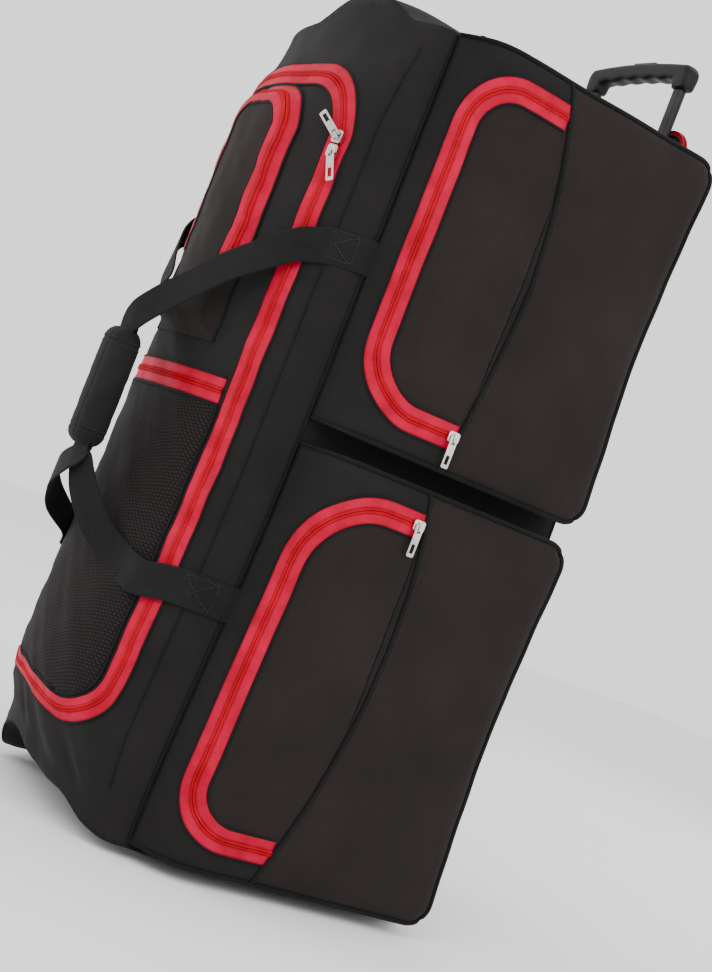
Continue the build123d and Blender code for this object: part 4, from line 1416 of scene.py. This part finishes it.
def button_well():
    """The room around the release button."""
    room = 0.5 * MM
    half_x, half_y = BUTTON_HI.x + room, (BUTTON_HI.y - BUTTON_LO.y) / 2 + room
    low, high = BUTTON_LO.z - 4.5 * MM, BUTTON_HI.z + 6 * MM
    outline = [(p, TUBE_Y + q) for p, q in superellipse(half_x, half_y, 0.3, 32)]
    verts = [(p, q, z) for z in (low, high) for p, q in outline]
    return mesh_piece("well", verts, ring_faces(2, len(outline)), BLACK_PLASTIC, soft=False)


COVER_OUT = COVER_HI.y - BACK_Y      # how far the cover stands out of the back
QUILT_X = 58 * MM           # half the distance between the cover's two quilt lines


def cover_surface(a, z):
    """The padded cover over the tubes; a runs from its right edge to its left edge."""
    run, x, share = COVER_PROFILE
    across = np.interp(a, run, x)
    h = np.interp(a, run, share)
    end = smooth((z - COVER_LO.z) / (34 * MM))
    quilt = 2.5 * MM * np.sin(math.pi * np.clip((across / COVER_HI.x + 1) / 2, 0, 1)) ** 0.5
    groove = 2.2 * MM * np.exp(-((np.abs(across) - QUILT_X) / (3 * MM)) ** 2)
    swell = (quilt - groove - 2.5 * MM) * h + rough(stack(across, 3, z), 0.08, 0.9 * MM, 0.15) * h
    return stack(across, BACK_Y + (COVER_OUT * h + swell) * end + 0.4 * MM, z)


def cover_profile():
    """The cover's cross-section as a run across it, with its x and its height as a share."""
    half, bend = COVER_HI.x, 14 * MM
    corners = [(half, 0.0), (half, COVER_OUT), (-half, COVER_OUT), (-half, 0.0)]
    run, x, share = bent_profile(corners, (bend, bend))
    height = (share * POCKET_DEEP + HALF_W) / COVER_OUT
    return run, x, height


COVER_PROFILE = cover_profile()


def make_rear_cover():
    """The quilted cover over the trolley tubes, with its sewn lines, hem and bound edge."""
    length = COVER_PROFILE[0][-1]
    outline = rounded_loop(0, length, COVER_LO.z, COVER_HI.z, 0, 8 * MM)
    cover = trimmed_sheet("rear_cover_fabric", outline, [], cover_surface, 8 * MM, BODY_CLOTH)
    finish_piece(cover, "bag", "black_fabric", "rear_cover")
    middle = length / 2
    lines = []
    for side in (-1, 1):
        a = middle + side * QUILT_X
        line = densify([(a, COVER_LO.z + 8 * MM), (a, COVER_HI.z - 4 * MM)], 6 * MM)
        lines.append(stitches(f"cover_line_{side + 1}", cover_surface, line, 0.2 * MM))
    finish_piece(join("rear_cover_stitches", lines), "bag", "black_fabric")
    hem = densify([(1 * MM, COVER_HI.z - 1 * MM), (length - 1 * MM, COVER_HI.z - 1 * MM)], 4 * MM)
    finish_piece(piping("rear_cover_hem", cover_surface, hem, 2.4 * MM, 0.5), "bag", "black_fabric")
    inset, top, foot = 3 * MM, COVER_HI.z - 4 * MM, COVER_LO.z + 5 * MM
    edge = [(inset, top), (inset, foot), (length - inset, foot), (length - inset, top)]
    finish_piece(piping("rear_cover_edge", cover_surface, edge, 2.0 * MM, 0.6), "bag", "black_fabric")


FLAP_LO, FLAP_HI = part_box("handle_flap")
FLAP_R = 32 * MM          # radius of the flap's upper corners


def flap_back(x, z):
    """The handle flap's rear face; x runs to the left, seen from behind to the right."""
    lean = 1.2 * MM * smooth((z - FLAP_LO.z) / (FLAP_HI.z - FLAP_LO.z))
    return stack(-x, FLAP_HI.y - 0.3 * MM - lean + rough(stack(x, 5, z), 0.06, 0.7 * MM, 0.3), z)


def flap_front(x, z):
    """Its front face, which the trolley tubes look at."""
    p = flap_back(-x, z)
    return p - np.array([0, 1.8 * MM, 0])


def make_handle_flap():
    """The flap behind the handle, with a zip tape round its rim on both faces."""
    half = FLAP_HI.x
    outline = rounded_loop(-half, half, FLAP_LO.z, FLAP_HI.z, FLAP_R, 5 * MM, (0, 1, 1, 0))
    sheet = trimmed_sheet("handle_flap_fabric", outline, [], flap_back, 6 * MM, BODY_CLOTH, 1.8 * MM)
    finish_piece(sheet, "rear_flap", "black_fabric", "handle_flap")
    rim = [p for p in rounded_loop(-half, half, FLAP_LO.z, FLAP_HI.z, FLAP_R, 4 * MM, (0, 1, 1, 0))
           if p[1] > FLAP_LO.z + 1 * MM]
    start = max(range(len(rim)), key=lambda i: rim[i][0] - 10 * rim[i][1])
    rim = rim[start:] + rim[:start]
    parts = [
        zip_half("flap_zip_back", flap_back, rim, 1, width=26 * MM),
        zip_half("flap_zip_front", flap_front, [(-x, z) for x, z in reversed(rim)], 1, width=13 * MM),
    ]
    finish_piece(join("handle_flap_closure", parts), "rear_flap", "red_zip", "handle_flap_zip")


def make_ring_tab():
    """The webbing loop that holds the ring."""
    lo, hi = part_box("d_ring_tab")
    x, y = (lo.x + hi.x) / 2, (lo.y + hi.y) / 2
    turns = np.linspace(-0.15 * math.pi, 1.15 * math.pi, 16)
    bar_z = lo.z + (hi.z - lo.z) / 2
    pts = [(x + 3.6 * MM * math.cos(t), y, bar_z + 3.1 * MM * math.sin(t)) for t in turns]
    foot = lo.z - 2 * MM
    pts = [(x + 4.4 * MM, y, foot)] + pts + [(x - 4.4 * MM, y, foot)]
    normals = [(px - x, 0, pz - bar_z) for px, _, pz in pts]
    tab = swept("ring_tab_loop", pts, normals, webbing_section(12 * MM, 1.2 * MM, 4), WEBBING)
    fix_normals(tab)
    finish_piece(tab, "bag", "webbing", "d_ring_tab")


make_grip()
make_rear_cover()
make_handle_flap()
make_ring_tab()


# ---------------------------------------------------------------- finishes of the hard parts
FINISHES = {
    "silver_metal": SILVER, "steel": STEEL, "dark_tube": TUBE_METAL, "black_plastic": BLACK_PLASTIC,
    "grey_plastic": GREY_PLASTIC, "board": BOARD, "tyre": TYRE, "webbing": WEBBING, "red_zip": ZIP_TAPE,
    "black_fabric": BODY_CLOTH, "panel_fabric": PANEL_CLOTH, "wrap_fabric": WRAP_CLOTH, "mesh": MESH_CLOTH,
}


def finish_hard_parts():
    """Give every CAD node the finish of its slot."""
    slots = {part["node"]: part["material_slot"] for part in frame["record"]["subparts"]}
    for name, node in frame["nodes"].items():
        for place in node.material_slots:
            place.material = FINISHES[slots[name]]


finish_hard_parts()
